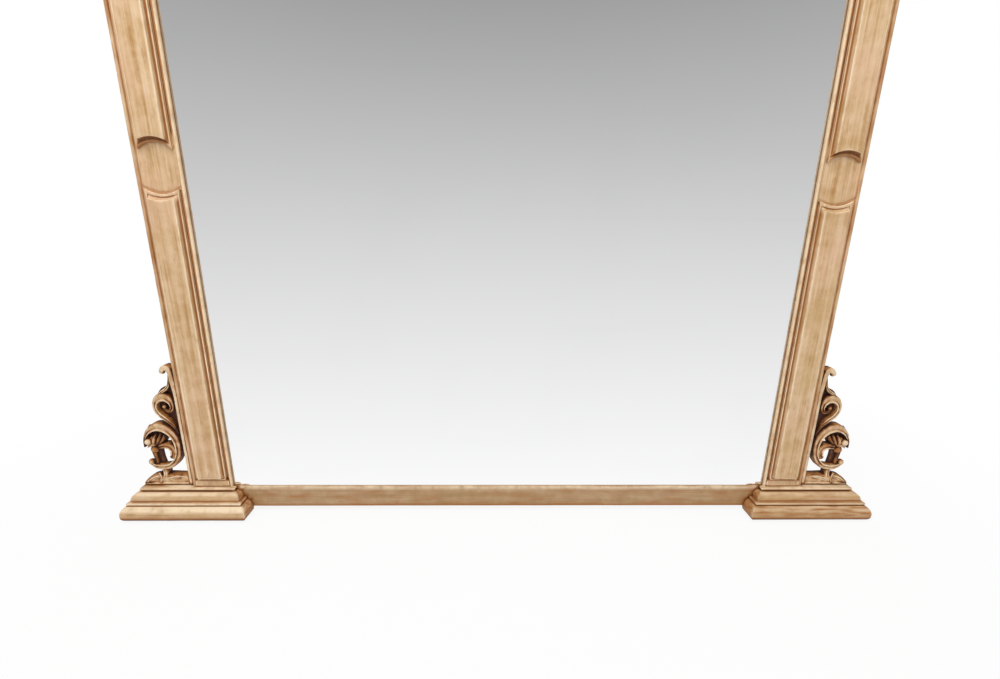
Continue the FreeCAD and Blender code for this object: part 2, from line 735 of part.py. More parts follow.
def bracket(side_name, side):
    hook = mm.spine_width + mm.finial_hook
    crown = mm.spine_height + mm.finial_crown
    spine = [
        (0, mm.foot_height),
        (mm.spine_width, mm.foot_height),
        (mm.spine_width, mm.spine_height),
        (hook - mm.finial_tip, mm.spine_height, -mm.finial_hook),
        (hook, mm.spine_height),
        (mm.spine_width / 2, crown, mm.spine_width / 2 + mm.finial_hook),
        (0, mm.spine_height),
    ]
    bracket_piece(f"bracket_spine_{side_name}", side, spine)
    lower_middle = mm.spine_width + mm.lower_radius
    stem_left = lower_middle - mm.stem_width / 2
    stem_right = lower_middle + mm.stem_width / 2
    foot = [
        (0, 0),
        (mm.foot_length, 0),
        (mm.foot_length - mm.foot_slope, mm.foot_height),
        (stem_right, mm.foot_height),
        (stem_right, scroll_foot),
        (stem_left, scroll_foot),
        (stem_left, mm.foot_height),
        (0, mm.foot_height),
    ]
    bracket_piece(f"bracket_foot_{side_name}", side, foot)
    lower_sizes = (mm.lower_radius, mm.lower_band, mm.lower_straight, mm.lower_tip)
    lower_end = scroll_foot + mm.lower_radius + mm.lower_straight / 2
    lower = c_scroll(lower_middle, scroll_foot, *lower_sizes, lower_end)
    bracket_piece(f"bracket_lower_scroll_{side_name}", side, lower)
    curl_middle = mm.spine_width + mm.lower_band + mm.curl_radius
    curl_foot = lower_end - mm.curl_radius - mm.curl_straight / 2
    curl_sizes = (mm.curl_radius, mm.curl_band, mm.curl_straight, mm.curl_tip)
    curl = c_scroll(curl_middle, curl_foot, *curl_sizes, lower_end)
    bracket_piece(f"bracket_inner_curl_{side_name}", side, curl)
    upper_middle = mm.spine_width + mm.upper_radius
    upper_sizes = (mm.upper_radius, mm.upper_band, mm.upper_straight, mm.upper_tip)
    upper_end = scroll_top + mm.upper_radius + mm.upper_straight / 2
    upper = c_scroll(upper_middle, scroll_top, *upper_sizes, upper_end, outward=-1)
    bracket_piece(f"bracket_upper_scroll_{side_name}", side, upper)


# Hanger: screwed strap with a rolled eye, and a D-ring that swings in it
def hanger(side_name, side):
    strap = new_body(f"hanger_strap_{side_name}")
    eye_inner = mm.ring_wire + mm.ring_clearance
    eye_outer = eye_inner + mm.strap_thickness
    plate_face = mm.strap_thickness - mm.ring_standoff
    plate = rectangle(-mm.ring_standoff, -mm.strap_length, plate_face, 0)
    pad(strap, outline_sketch(strap, "YZ_Plane", plate), mm.strap_width, both_ways=True)
    pad(strap, circle_sketch(strap, "YZ_Plane", [(0, 0)], eye_outer), mm.strap_width, both_ways=True)
    cut(strap, circle_sketch(strap, "YZ_Plane", [(0, 0)], eye_inner))
    holes = [(0, height) for height in strap_screw_heights()]
    cut(strap, circle_sketch(strap, "XZ_Plane", holes, hole_radius))
    ring = new_body(f"hanger_ring_{side_name}")
    half = mm.ring_bar / 2
    bow = half + mm.ring_corner
    side_end = mm.ring_corner + mm.ring_side
    loop = [
        (0, 0),
        (half, 0),
        (bow, -mm.ring_corner, -mm.ring_corner),
        (bow, -side_end),
        (0, -side_end - bow, -bow),
        (-bow, -side_end, -bow),
        (-bow, -mm.ring_corner),
        (-half, 0, -mm.ring_corner),
    ]
    path = outline_sketch(ring, "XZ_Plane", loop)
    wire = circle_sketch(ring, "YZ_Plane", [(0, 0)], mm.ring_wire)
    pipe = ring.newObject("PartDesign::AdditivePipe", f"hanger_ring_{side_name}_pipe")
    pipe.Profile = wire
    pipe.Spine = path
    for piece in (strap, ring):
        place(piece, hanger_across * side, back + mm.ring_standoff, mm.hanger_height)


def hanger_screws():
    screws = []
    for side in SIDES.values():
        for height in strap_screw_heights():
            seat = back + mm.strap_thickness
            screws.append(screw(hanger_across * side, seat, mm.hanger_height + height, mm.strap_screw_length))
    group("hanger_screws", screws)


for side_name, side in SIDES.items():
    stile(side_name, side)
    pilaster(side_name, side)
    plinth(side_name, side)
    capital(side_name, side)
    bracket(side_name, side)
    hanger(side_name, side)
rails()
mirror_plate()
glass_blocks()
backboards()
backboard_screws()
cornice()
hanger_screws()
doc.recompute()

for thing in doc.Objects:
    if "Invalid" in thing.State or "Error" in thing.State:
        raise RuntimeError(f"{thing.Name} failed: {thing.State}")
os.makedirs("parts", exist_ok=True)
for piece in pieces:
    if piece.Shape.isNull() or not piece.Shape.isValid():
        raise RuntimeError(f"{piece.Label} has no valid shape")
for piece in pieces:
    piece.Shape.exportStep(os.path.join("parts", f"{piece.Label}.step"))
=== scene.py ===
import math

import bmesh
import bpy
import numpy as np
from mathutils import Matrix, Vector, noise
from mathutils.bvhtree import BVHTree


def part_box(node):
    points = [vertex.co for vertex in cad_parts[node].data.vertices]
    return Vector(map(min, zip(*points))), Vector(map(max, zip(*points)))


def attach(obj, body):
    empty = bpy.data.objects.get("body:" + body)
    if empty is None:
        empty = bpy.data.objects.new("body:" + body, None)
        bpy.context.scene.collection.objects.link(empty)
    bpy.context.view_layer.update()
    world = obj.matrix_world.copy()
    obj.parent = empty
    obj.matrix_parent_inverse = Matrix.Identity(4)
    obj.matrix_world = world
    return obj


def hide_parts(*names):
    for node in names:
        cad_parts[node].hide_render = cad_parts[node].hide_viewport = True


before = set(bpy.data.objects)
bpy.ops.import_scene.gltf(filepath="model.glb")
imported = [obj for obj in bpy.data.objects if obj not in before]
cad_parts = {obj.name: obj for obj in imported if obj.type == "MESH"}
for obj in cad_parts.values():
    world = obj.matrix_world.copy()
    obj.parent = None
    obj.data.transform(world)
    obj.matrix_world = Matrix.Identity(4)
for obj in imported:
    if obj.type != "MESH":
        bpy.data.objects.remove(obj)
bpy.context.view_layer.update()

# Carcase: two pine stiles with a rail tenoned between them at foot and head. The front is gessoed, gilded
# and limed, with brown glaze and painted shade in the hollows, and edges made pale by rubbing and by painted
# highlights; the back is bare wood.
MM = 0.001
SIDES = (("left", -1), ("right", 1))
GLASS_ROOM = 2
STILE_STEP = 3
STILE_RINGS = 100
ROUNDEL_ZONE = 55
ROUNDEL_STEP = 1.5
SCOOP_GAP = {1: 45, -1: 37.5}
HORN_LIFT = {1: 4, -1: 0}
ROUNDEL_DROP = {-1: 0, 1: 8.5}
GROOVE_WIDTH = 6
GROOVE_DEPTH = 1.2
RAIL_STEP = 8
BACK_EASING = 1.5
LIP_SETBACK = 2.6
RAIL_TOP_EASING = 5
RAIL_FOOT_EASING = 2
FACES_BACK = 0.6
BUMP_STRENGTH = 0.35


def box_mm(node):
    low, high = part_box(node)
    return low / MM, high / MM


def tone(red, green, blue):
    """A finish colour as it looks, in steps of 255, turned into the shader's linear light."""
    shares = [step / 255 for step in (red, green, blue)]
    return (*[((share + 0.055) / 1.055) ** 2.4 for share in shares], 1.0)


class Wiring:
    """Puts nodes into a material, world or group and joins them as they are made."""

    def __init__(self, tree):
        self.tree = tree

    def node(self, kind, feeds=None, **settings):
        node = self.tree.nodes.new("ShaderNode" + kind)
        for name, value in settings.items():
            setattr(node, name, value)
        for socket, value in (feeds or {}).items():
            self.feed(node.inputs[socket], value)
        return node

    def feed(self, socket, value):
        if isinstance(value, bpy.types.NodeSocket):
            self.tree.links.new(value, socket)
        else:
            socket.default_value = value

    def noise(self, place, scale, detail=3, roughness=0.5):
        feeds = {"Vector": place, "Scale": scale, "Detail": detail, "Roughness": roughness}
        return self.node("TexNoise", feeds).outputs["Fac"]

    def stretch(self, place, scales):
        return self.node("VectorMath", {0: place, 1: scales}, operation="MULTIPLY").outputs[0]

    def math(self, operation, first, second=0.0):
        return self.node("Math", {0: first, 1: second}, operation=operation).outputs[0]

    def plus(self, first, second):
        return self.math("ADD", first, second)

    def less(self, first, second):
        return self.math("SUBTRACT", first, second)

    def times(self, first, second):
        return self.math("MULTIPLY", first, second)

    def between(self, value, low, high):
        """0 below low, 1 above high, with a soft step between."""
        feeds = {"Value": value, "From Min": low, "From Max": high}
        return self.node("MapRange", feeds, interpolation_type="SMOOTHSTEP").outputs["Result"]

    def mix(self, share, first, second):
        return self.node("Mix", {0: share, 6: first, 7: second}, data_type="RGBA").outputs[2]

    def ramp(self, value, stops):
        node = self.node("ValToRGB", {"Fac": value})
        band = node.color_ramp.elements
        while len(band) < len(stops):
            band.new(1.0)
        for element, (place, colour) in zip(band, stops):
            element.position = place
            element.color = colour
        return node.outputs["Color"]


def new_group(name, takes, gives):
    group = bpy.data.node_groups.new(name, "ShaderNodeTree")
    for label, kind in takes.items():
        group.interface.new_socket(label, in_out="INPUT", socket_type="NodeSocket" + kind)
    for label, kind in gives.items():
        group.interface.new_socket(label, in_out="OUTPUT", socket_type="NodeSocket" + kind)
    wires = Wiring(group)
    given = group.nodes.new("NodeGroupInput").outputs
    given_out = group.nodes.new("NodeGroupOutput").inputs
    return group, wires, given, given_out


def wood_grain_group():
    """Streaks, fibres and pores that run along the first axis of the place they are given."""
    group, wires, given, out = new_group(
        "wood_grain", {"Place": "Vector"}, {"Streak": "Float", "Fibre": "Float", "Pore": "Float"}
    )
    broad = wires.noise(wires.stretch(given["Place"], (2.2, 75, 75)), 1, 3, 0.55)
    fine = wires.noise(wires.stretch(given["Place"], (8, 340, 340)), 1, 4, 0.6)
    prick = wires.noise(wires.stretch(given["Place"], (30, 1100, 1100)), 1, 2)
    wires.feed(out["Streak"], wires.between(broad, 0.32, 0.68))
    wires.feed(out["Fibre"], wires.between(fine, 0.3, 0.7))
    wires.feed(out["Pore"], wires.between(prick, 0.63, 0.7))
    return group


def limed_gilt_group():
    """Colour, roughness and height of the limed gilding, from grain, glaze and painted shade in the hollows,
    ridges pale with rubbed wear and painted highlight, and glaze.
    """
    takes = {"Place": "Vector", "Streak": "Float", "Fibre": "Float", "Pore": "Float"}
    takes.update({"Hollow": "Float", "Ridge": "Float", "Glaze": "Float"})
    gives = {"Color": "Color", "Roughness": "Float", "Height": "Float"}
    group, wires, given, out = new_group("limed_gilt", takes, gives)
    place, streak, fibre, pore = (given[label] for label in ("Place", "Streak", "Fibre", "Pore"))
    bare_gold, ground, lime = tone(186, 140, 84), tone(216, 180, 137), tone(232, 203, 166)
    pink, olive, toned = tone(230, 190, 157), tone(206, 170, 116), tone(156, 121, 80)
    # The last two of these colours are the near-black of painted shade in the deepest hollows and the pale of
    # rubbed wear and painted highlight.
    brown, dark, rub_and_highlight_tone = tone(166, 106, 50), tone(72, 37, 20), tone(255, 232, 198)
    cloud = wires.between(wires.noise(place, 38, 4, 0.6), 0.28, 0.72)
    figure = wires.plus(wires.times(streak, 0.36), wires.times(fibre, 0.3))
    figure = wires.plus(figure, wires.times(cloud, 0.34))
    base = wires.ramp(figure, [(0.12, bare_gold), (0.5, ground), (0.88, lime)])
    patch = wires.noise(place, 9, 3)
    base = wires.mix(wires.times(wires.between(patch, 0.5, 0.68), 0.5), base, pink)
    base = wires.mix(wires.times(wires.between(patch, 0.5, 0.34), 0.4), base, olive)
    veil = wires.times(given["Glaze"], wires.less(1.25, wires.times(figure, 0.5)))
    base = wires.mix(veil, base, toned)
    base = wires.mix(wires.times(pore, 0.22), base, brown)
    drips = wires.between(wires.noise(wires.stretch(place, (26, 80, 80)), 1, 4, 0.62), 0.54, 0.74)
    base = wires.mix(wires.times(drips, 0.42), base, brown)
    # Hollows take brown glaze with painted shade, and near-black painted shade where deepest; ridges take the
    # pale of rubbed wear and painted highlight.
    ragged = wires.plus(given["Hollow"], wires.times(wires.less(fibre, 0.5), 0.12))
    glaze_and_shade_mask = wires.between(ragged, 0.05, 0.55)
    base = wires.mix(wires.times(glaze_and_shade_mask, 0.95), base, brown)
    base = wires.mix(wires.between(ragged, 0.5, 0.95), base, dark)
    wear_and_highlight = wires.times(given["Ridge"], wires.between(wires.noise(place, 55, 3), 0.12, 0.62))
    wear_and_highlight = wires.times(wear_and_highlight, wires.less(1.0, glaze_and_shade_mask))
    wires.feed(out["Color"], wires.mix(wires.times(wear_and_highlight, 0.9), base, rub_and_highlight_tone))
    dull = wires.plus(wires.plus(0.44, wires.times(fibre, 0.14)), wires.times(glaze_and_shade_mask, 0.14))
    wires.feed(out["Roughness"], wires.less(dull, wires.times(wear_and_highlight, 0.1)))
    relief = wires.less(wires.times(fibre, 0.6), wires.times(pore, 0.6))
    wires.feed(out["Height"], wires.plus(relief, wires.times(streak, 0.4)))
    return group


grain_group = wood_grain_group()
gilt_group = limed_gilt_group()
GRAIN_TURN = {"x": (0, 0, 0), "y": (0, 0, -math.pi / 2), "z": (0, math.pi / 2, 0)}


def grained_material(name, grain):
    """A new material with its grain running along x, y or z of the piece."""
    material = bpy.data.materials.new(name)
    material.use_nodes = True
    wires = Wiring(material.node_tree)
    spot = wires.node("TexCoord").outputs["Object"]
    place = wires.node("Mapping", {"Vector": spot, "Rotation": GRAIN_TURN[grain]}).outputs["Vector"]
    figure = wires.node("Group", node_tree=grain_group)
    wires.feed(figure.inputs["Place"], place)
    return material, wires, place, figure.outputs


def surface(material, wires, colour, roughness, height, bump_depth):
    shader = material.node_tree.nodes["Principled BSDF"]
    bump = wires.node("Bump", {"Height": height, "Strength": BUMP_STRENGTH, "Distance": bump_depth})
    wires.feed(shader.inputs["Base Color"], colour)
    wires.feed(shader.inputs["Roughness"], roughness)
    wires.feed(shader.inputs["Normal"], bump.outputs["Normal"])
    return shader


def limed_gilt(name, grain, glaze):
    material, wires, place, figure = grained_material(name, grain)
    finish = wires.node("Group", node_tree=gilt_group)
    wires.feed(finish.inputs["Place"], place)
    for label in ("Streak", "Fibre", "Pore"):
        wires.feed(finish.inputs[label], figure[label])
    for label, stored in (("Hollow", "hollow"), ("Ridge", "ridge")):
        wires.feed(finish.inputs[label], wires.node("Attribute", attribute_name=stored).outputs["Fac"])
    finish.inputs["Glaze"].default_value = glaze
    gives = finish.outputs
    surface(material, wires, gives["Color"], gives["Roughness"], gives["Height"], 0.0006)
    return material


def bare_pine(name, grain):
    material, wires, place, figure = grained_material(name, grain)
    early, late, old = tone(205, 168, 120), tone(158, 112, 66), tone(120, 88, 58)
    rings = wires.noise(wires.stretch(place, (1.1, 45, 45)), 1, 2)
    bands = wires.math("FRACT", wires.times(rings, 9.0))
    colour = wires.ramp(bands, [(0.0, early), (0.75, early), (0.9, late), (1.0, early)])
    colour = wires.mix(wires.times(figure["Fibre"], 0.3), colour, late)
    grime = wires.between(wires.noise(place, 6, 4, 0.6), 0.42, 0.7)
    colour = wires.mix(wires.times(grime, 0.5), colour, old)
    rough = wires.plus(0.62, wires.times(figure["Fibre"], 0.2))
    surface(material, wires, colour, rough, figure["Fibre"], 0.0005)
    return material


gilt_upright = limed_gilt("limed_gilt_upright", "z", 0.08)
gilt_rail = limed_gilt("limed_gilt_rail", "x", 0.68)
pine_upright = bare_pine("bare_pine_upright", "z")
pine_across = bare_pine("bare_pine_across", "x")


def rounded(corners, steps=4):
    """A closed outline of corners (a, b, radius), each rounded by a short curve of its radius."""
    outline = []
    for index, (a, b, radius) in enumerate(corners):
        here = Vector((a, b))
        if radius == 0:
            outline.append(here)
            continue
        start = here + (Vector(corners[index - 1][:2]) - here).normalized() * radius
        end = here + (Vector(corners[(index + 1) % len(corners)][:2]) - here).normalized() * radius
        for step in range(steps + 1):
            share = step / steps
            outline.append(start.lerp(here, share).lerp(here.lerp(end, share), share))
    return outline


def edge_counts(outline, longest):
    ends = outline[1:] + outline[:1]
    return [max(1, math.ceil((end - start).length / longest)) for start, end in zip(outline, ends)]


def divided(outline, counts):
    """The outline with each edge cut into its number of equal steps."""
    points = []
    for start, end, count in zip(outline, outline[1:] + outline[:1], counts):
        points += [start.lerp(end, step / count) for step in range(count)]
    return points


def stepped(corners, longest, steps=4):
    """Rounded outline with no edge longer than a step."""
    outline = rounded(corners, steps)
    return divided(outline, edge_counts(outline, longest))


def stations(start, end, step):
    """Places from start to end, about a step apart."""
    return np.linspace(start, end, round((end - start) / step) + 1)


def skin(rings):
    """Points and faces of a closed shell over rings of equal length, with both ends shut."""
    count = len(rings[0])
    points = [point for ring in rings for point in ring]
    faces = [tuple(range(count)), tuple(range(len(points) - count, len(points)))]
    for first in range(0, len(points) - count, count):
        for step in range(count):
            after = (step + 1) % count
            faces.append((first + step, first + after, first + count + after, first + count + step))
    return points, faces


def worked_by_hand(mesh, wander, span):
    """Pulls the surface in by an uneven hair's breadth, as scraped gesso is."""
    for vertex in mesh.vertices:
        depth = wander * (0.5 + 0.5 * noise.noise(vertex.co / (span * MM)))
        vertex.co -= vertex.normal * depth * MM


limed_pieces = []


def shell_mesh(name, shells):
    """Mesh of closed shells in millimetres, with its faces turned outward."""
    points, faces = [], []
    for shell_points, shell_faces in shells:
        first = len(points)
        points += [[length * MM for length in point] for point in shell_points]
        faces += [[first + corner for corner in face] for face in shell_faces]
    mesh = bpy.data.meshes.new(name)
    mesh.from_pydata(points, [], faces)
    work = bmesh.new()
    work.from_mesh(mesh)
    bmesh.ops.recalc_face_normals(work, faces=work.faces)
    work.to_mesh(mesh)
    work.free()
    return mesh


def make_piece(name, shells, finish, node, slot, bare=None, wander=0.15, span=35, crease=38):
    """One piece that stands for its CAD node and rides with the frame; bare is the finish of its back."""
    mesh = shell_mesh(name, shells)
    worked_by_hand(mesh, wander, span)
    mesh.polygons.foreach_set("use_smooth", [True] * len(mesh.polygons))
    mesh.set_sharp_from_angle(angle=math.radians(crease))
    mesh.materials.append(finish)
    if bare is not None:
        mesh.materials.append(bare)
        for face in mesh.polygons:
            face.material_index = int(face.normal.y > FACES_BACK)
    piece = bpy.data.objects.new(name, mesh)
    bpy.context.scene.collection.objects.link(piece)
    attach(piece, "frame")
    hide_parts(node)
    return piece


def limed(node, shells, finish, stain_and_shading=None, name=None, **work):
    """A gilded piece; its stain-and-shading rule says how its hollows and ridges take glaze and painted
    shade, rubbing and painted highlight.
    """
    piece = make_piece(name or f"limed_{node}", shells, finish, node, "limed_gilt_wood", **work)
    limed_pieces.append((piece, stain_and_shading))


stile_low, stile_high = box_mm("stile_right")
rail_low, rail_high = box_mm("rail_bottom")
frieze_low, frieze_high = box_mm("rail_top")
glass_low, glass_high = box_mm("mirror_plate")
board_low, board_high = box_mm("backboard_4")
panel_foot = box_mm("panel_upper_right")[0].z
panel_head = box_mm("panel_lower_right")[1].z
half_sight, outside, face, back = stile_low.x, stile_high.x, stile_low.y, stile_high.y
glass_wall = glass_high.x + GLASS_ROOM
board_wall, board_front = board_high.x, board_low.y
roundel_middle = {side: (panel_foot + panel_head) / 2 - drop for side, drop in ROUNDEL_DROP.items()}

lip = half_sight + LIP_SETBACK
stile_corners = [
    (lip, face, 0), (outside, face, 0), (outside, back, BACK_EASING), (board_wall, back, BACK_EASING),
    (board_wall, board_front, 0), (glass_wall, board_front, 0), (glass_wall, 0, 0), (lip, 0, 0),
]
stile_outline = stepped(stile_corners, STILE_STEP)
panel_low, panel_high = box_mm("panel_upper_right")
panel_middle, panel_half = (panel_low.x + panel_high.x) / 2, (panel_high.x - panel_low.x) / 2


def stile_heights(side):
    """Heights of the stile's rings, close together round the roundel."""
    coarse = np.linspace(stile_low.z, stile_high.z, STILE_RINGS)
    coarse = coarse[abs(coarse - roundel_middle[side]) > ROUNDEL_ZONE + ROUNDEL_STEP]
    close = roundel_middle[side] + np.arange(-ROUNDEL_ZONE, ROUNDEL_ZONE, ROUNDEL_STEP)
    return np.sort(np.concatenate([coarse, close]))


def side_of(spots):
    return 1 if spots[:, 0].mean() > 0 else -1


def scoop(up, side):
    """Middle height and radius of the round that scoops the panel above (+1) or below (-1) the roundel."""
    apex = roundel_middle[side] + up * SCOOP_GAP[up]
    depth = abs((panel_foot if up > 0 else panel_head) - ROUNDEL_DROP[side] + HORN_LIFT[up] - apex)
    radius = (panel_half * panel_half + depth * depth) / (2 * depth)
    return apex - up * radius, radius


def soft_step(values, low, high):
    share = np.clip((np.asarray(values) - low) / (high - low), 0, 1)
    return share * share * (3 - 2 * share)


def groove_depth(across, height, side):
    """The soft groove that is worked in the roundel's ground along the lower scoop."""
    middle, radius = scoop(-1, side)
    inside = radius - math.hypot(across - panel_middle, height - middle)
    if not 0 < inside < GROOVE_WIDTH or abs(across - panel_middle) > panel_half:
        return 0
    return GROOVE_DEPTH * math.sin(math.pi * inside / GROOVE_WIDTH)


def stile_glaze_and_shade(spots, hollow, ridge):
    """Painted shade at the sight edge; glaze and painted shade from the hollows, little beside the outer bead
    and less over the roundel's arch; painted shade along the groove.
    """
    side = side_of(spots)
    across, above = abs(spots[:, 0]), spots[:, 2] - roundel_middle[side]
    # Glaze and painted shade are thinned beside the outer bead; the groove and the sight edge get painted
    # shade.
    outer = soft_step(across, panel_middle + panel_half - 2, panel_middle + panel_half + 1)
    middle, radius = scoop(-1, side)
    inside = radius - np.hypot(across - panel_middle, spots[:, 2] - middle)
    groove = soft_step(inside, -1, 1) * (1 - soft_step(inside, 3, GROOVE_WIDTH + 1)) * (above < 0)
    sight = 1 - soft_step(across, lip + 0.5, lip + 2)
    arch = soft_step(above, 25, 30) * (above < 60)
    hollow = hollow * (1 - 0.6 * arch)
    return np.maximum.reduce([hollow * (1 - 0.85 * outer) * (1 - sight), 0.34 * groove, 0.1 * sight]), ridge


for side_name, side in SIDES:
    rings = []
    for height in stile_heights(side):
        row = []
        for spot in stile_outline:
            groove = groove_depth(spot.x, height, side) if spot.y == face else 0
            row.append((side * spot.x, spot.y + groove, height))
        rings.append(row)
    limed(f"stile_{side_name}", [skin(rings)], gilt_upright, stile_glaze_and_shade, bare=pine_upright)


def smears(spots, wide, high):
    """Uneven streaks left by the cloth, wide along x and high along y and z."""
    return np.array([noise.noise((x / wide, y / high, z / high)) for x, y, z in spots])


def rail_glaze_and_highlight(spots, hollow, ridge):
    """Patchy glaze along the rail, glaze and painted shade in its hollows, darker towards its foot, and a
    painted highlight along its rounded upper edge.
    """
    share = (spots[:, 2] - rail_low.z) / (rail_high.z - rail_low.z)
    # Darker towards the foot; the pale along the rounded top edge is a painted highlight.
    foot = 0.5 * (1 - soft_step(share, 0.04, 0.2))
    crest = 0.7 * soft_step(share, 0.8, 0.9)
    patches = 0.14 + 0.3 * smears(spots, 55, 7)
    return np.maximum.reduce([0.8 * hollow, patches, foot]), np.maximum(ridge, crest)


def rail(node, outer, sight, glass_edge, board_edge, outer_easing, stain_and_shading=None):
    """Rail with a rounded sight edge, rebated behind for glass and boards, and its two haunches."""
    corners = [
        (face, outer, outer_easing), (face, sight, RAIL_TOP_EASING), (0, sight, 0), (0, glass_edge, 0),
        (board_front, glass_edge, 0), (board_front, board_edge, 0),
        (back, board_edge, 0), (back, outer, BACK_EASING),
    ]
    outline = stepped(corners, RAIL_STEP)
    run = stations(-lip, lip, RAIL_STEP)
    shells = [skin([[(across, spot.x, spot.y) for spot in outline] for across in run])]
    rebates = ((glass_wall, 0, board_front, glass_edge), (board_wall, board_front, back, board_edge))
    for side in (-1, 1):
        for wall, near, far, edge in rebates:
            haunch = [(near, outer), (near, edge), (far, edge), (far, outer)]
            shells.append(skin([[(side * across, *spot) for spot in haunch] for across in (lip, wall)]))
    limed(node, shells, gilt_rail, stain_and_shading, bare=pine_across, wander=0.3, span=60)


glass_seat, glass_head = glass_low.z, glass_high.z + GLASS_ROOM
rail("rail_bottom", rail_low.z, rail_high.z, glass_seat, board_low.z, RAIL_FOOT_EASING, rail_glaze_and_highlight)
rail("rail_top", frieze_high.z, frieze_low.z, glass_head, board_high.z, 0)

# Mirror plate: one sheet of silvered float glass, laid into the rebate from behind and held by glued
# blocks. The silver reads as a bright metal, a little hazed by old polish.
mirror_finish = bpy.data.materials.new("silvered_glass")
mirror_finish.use_nodes = True
wires = Wiring(mirror_finish.node_tree)
spot = wires.node("TexCoord").outputs["Object"]
haze = wires.between(wires.noise(spot, 3.5, 4, 0.6), 0.45, 0.75)
wipes = wires.between(wires.noise(wires.stretch(spot, (2, 8, 22)), 1, 3), 0.5, 0.8)
veil = wires.plus(wires.times(haze, 0.6), wires.times(wipes, 0.4))
mirror_shader = mirror_finish.node_tree.nodes["Principled BSDF"]
wires.feed(mirror_shader.inputs["Base Color"], wires.mix(veil, tone(252, 252, 253), tone(249, 249, 250)))
wires.feed(mirror_shader.inputs["Roughness"], wires.plus(0.004, wires.times(veil, 0.012)))
mirror_shader.inputs["Metallic"].default_value = 1.0


def refinish(node, finish):
    """Gives a carried-over CAD node its finish."""
    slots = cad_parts[node].data.materials
    slots.clear()
    slots.append(finish)


refinish("mirror_plate", mirror_finish)

# Back: sawn pine boards screwed into a second rebate behind the glass, over small glued blocks. The edges
# are planed off, the faces are left from the saw, and the screws have slotted steel heads.
BOARD_EASING = 1.2
BOARD_STEP = 30
SLOT_WIDTH = 0.9
SLOT_DEPTH = 0.9
SCREW_SIDES = 24
SCREW_SHANK = 1.7
SCREW_LENGTH = 14
SCREW_POINT = 5
SCREW_TIP = 0.3
HEAD_RADIUS = 3.5
HEAD_HEIGHT = 2
HEAD_RIM = 0.7
HEAD_ARC = (8, 30, 55, 78)
SLOT_TURN = 37

refinish("glass_blocks", pine_upright)
for number in range(1, 5):
    node = f"backboard_{number}"
    low, high = box_mm(node)
    corners = [
        (low.x, low.y, BOARD_EASING), (high.x, low.y, BOARD_EASING),
        (high.x, high.y, BOARD_EASING), (low.x, high.y, BOARD_EASING),
    ]
    outline = stepped(corners, BOARD_STEP, 3)
    heights = stations(low.z, high.z, BOARD_STEP)
    rings = [[(spot.x, spot.y, height) for spot in outline] for height in heights]
    make_piece(f"pine_{node}", [skin(rings)], pine_upright, node, "bare_pine", wander=0.25, span=90)


def metal(name, bright, dull, worn_roughness, dull_roughness):
    """Metal with patchy tarnish over it."""
    material = bpy.data.materials.new(name)
    material.use_nodes = True
    wires = Wiring(material.node_tree)
    spot = wires.node("TexCoord").outputs["Object"]
    tarnish = wires.between(wires.noise(spot, 240, 5, 0.65), 0.36, 0.66)
    scratch = wires.noise(wires.stretch(spot, (300, 300, 2600)), 1, 2)
    colour = wires.mix(tarnish, bright, dull)
    spread = dull_roughness - worn_roughness
    rough = wires.plus(worn_roughness, wires.times(tarnish, spread))
    surface(material, wires, colour, rough, scratch, 0.0001).inputs["Metallic"].default_value = 1.0
    return material


screw_steel = metal("screw_steel", tone(176, 174, 170), tone(104, 92, 80), 0.32, 0.6)


def screw_places(node):
    """Middle of each screw head of a CAD node, with the level of its seat."""
    work = bmesh.new()
    work.from_mesh(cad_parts[node].data)
    bmesh.ops.remove_doubles(work, verts=work.verts, dist=1e-6)
    unseen = set(work.verts)
    places = []
    while unseen:
        island = [unseen.pop()]
        for vertex in island:
            fresh = {link.other_vert(vertex) for link in vertex.link_edges} & unseen
            unseen -= fresh
            island += fresh
        spots = np.array([vertex.co for vertex in island]) / MM
        places.append((spots.min(0) + spots.max(0)) / 2 * (1, 0, 1) + (0, spots[:, 1].max(), 0))
    work.free()
    return sorted(map(tuple, places))


def slotted_screws(name, node):
    """Pan-headed wood screws, each slot cut across the head at its own angle."""
    shells, slots = [], []
    turn = [math.tau * step / SCREW_SIDES for step in range(SCREW_SIDES)]
    lathe = [(SCREW_TIP, -SCREW_LENGTH), (SCREW_SHANK, SCREW_POINT - SCREW_LENGTH), (SCREW_SHANK, 0)]
    lathe += [(HEAD_RADIUS, 0), (HEAD_RADIUS, HEAD_RIM)]
    for angle in np.radians(HEAD_ARC):
        lathe.append((HEAD_RADIUS * math.cos(angle), HEAD_RIM + (HEAD_HEIGHT - HEAD_RIM) * math.sin(angle)))
    for number, (x, top, z) in enumerate(screw_places(node)):
        seat = top - HEAD_HEIGHT
        rings = []
        for reach, rise in lathe:
            rings.append([(x + reach * math.cos(a), seat + rise, z + reach * math.sin(a)) for a in turn])
        shells.append(skin(rings))
        lie = math.radians(SLOT_TURN * number % 180)
        along = Vector((math.cos(lie), 0, math.sin(lie))) * (HEAD_RADIUS + 1)
        across = Vector((-math.sin(lie), 0, math.cos(lie))) * SLOT_WIDTH / 2
        ends = [along + across, along - across, -along - across, -along + across]
        cut = [[Vector((x, level, z)) + end for end in ends] for level in (top - SLOT_DEPTH, top + 1)]
        slots.append(skin(cut))
    piece = make_piece(name, shells, screw_steel, node, "steel_screws", wander=0)
    cutter = bpy.data.objects.new(name + "_slots", shell_mesh(name + "_slots", slots))
    bpy.context.scene.collection.objects.link(cutter)
    slotting = piece.modifiers.new("slot", "BOOLEAN")
    slotting.object = cutter
    cut_mesh = bpy.data.meshes.new_from_object(piece.evaluated_get(bpy.context.evaluated_depsgraph_get()))
    piece.modifiers.clear()
    piece.data = cut_mesh
    bpy.data.objects.remove(cutter)


slotted_screws("slotted_backboard_screws", "backboard_screws")

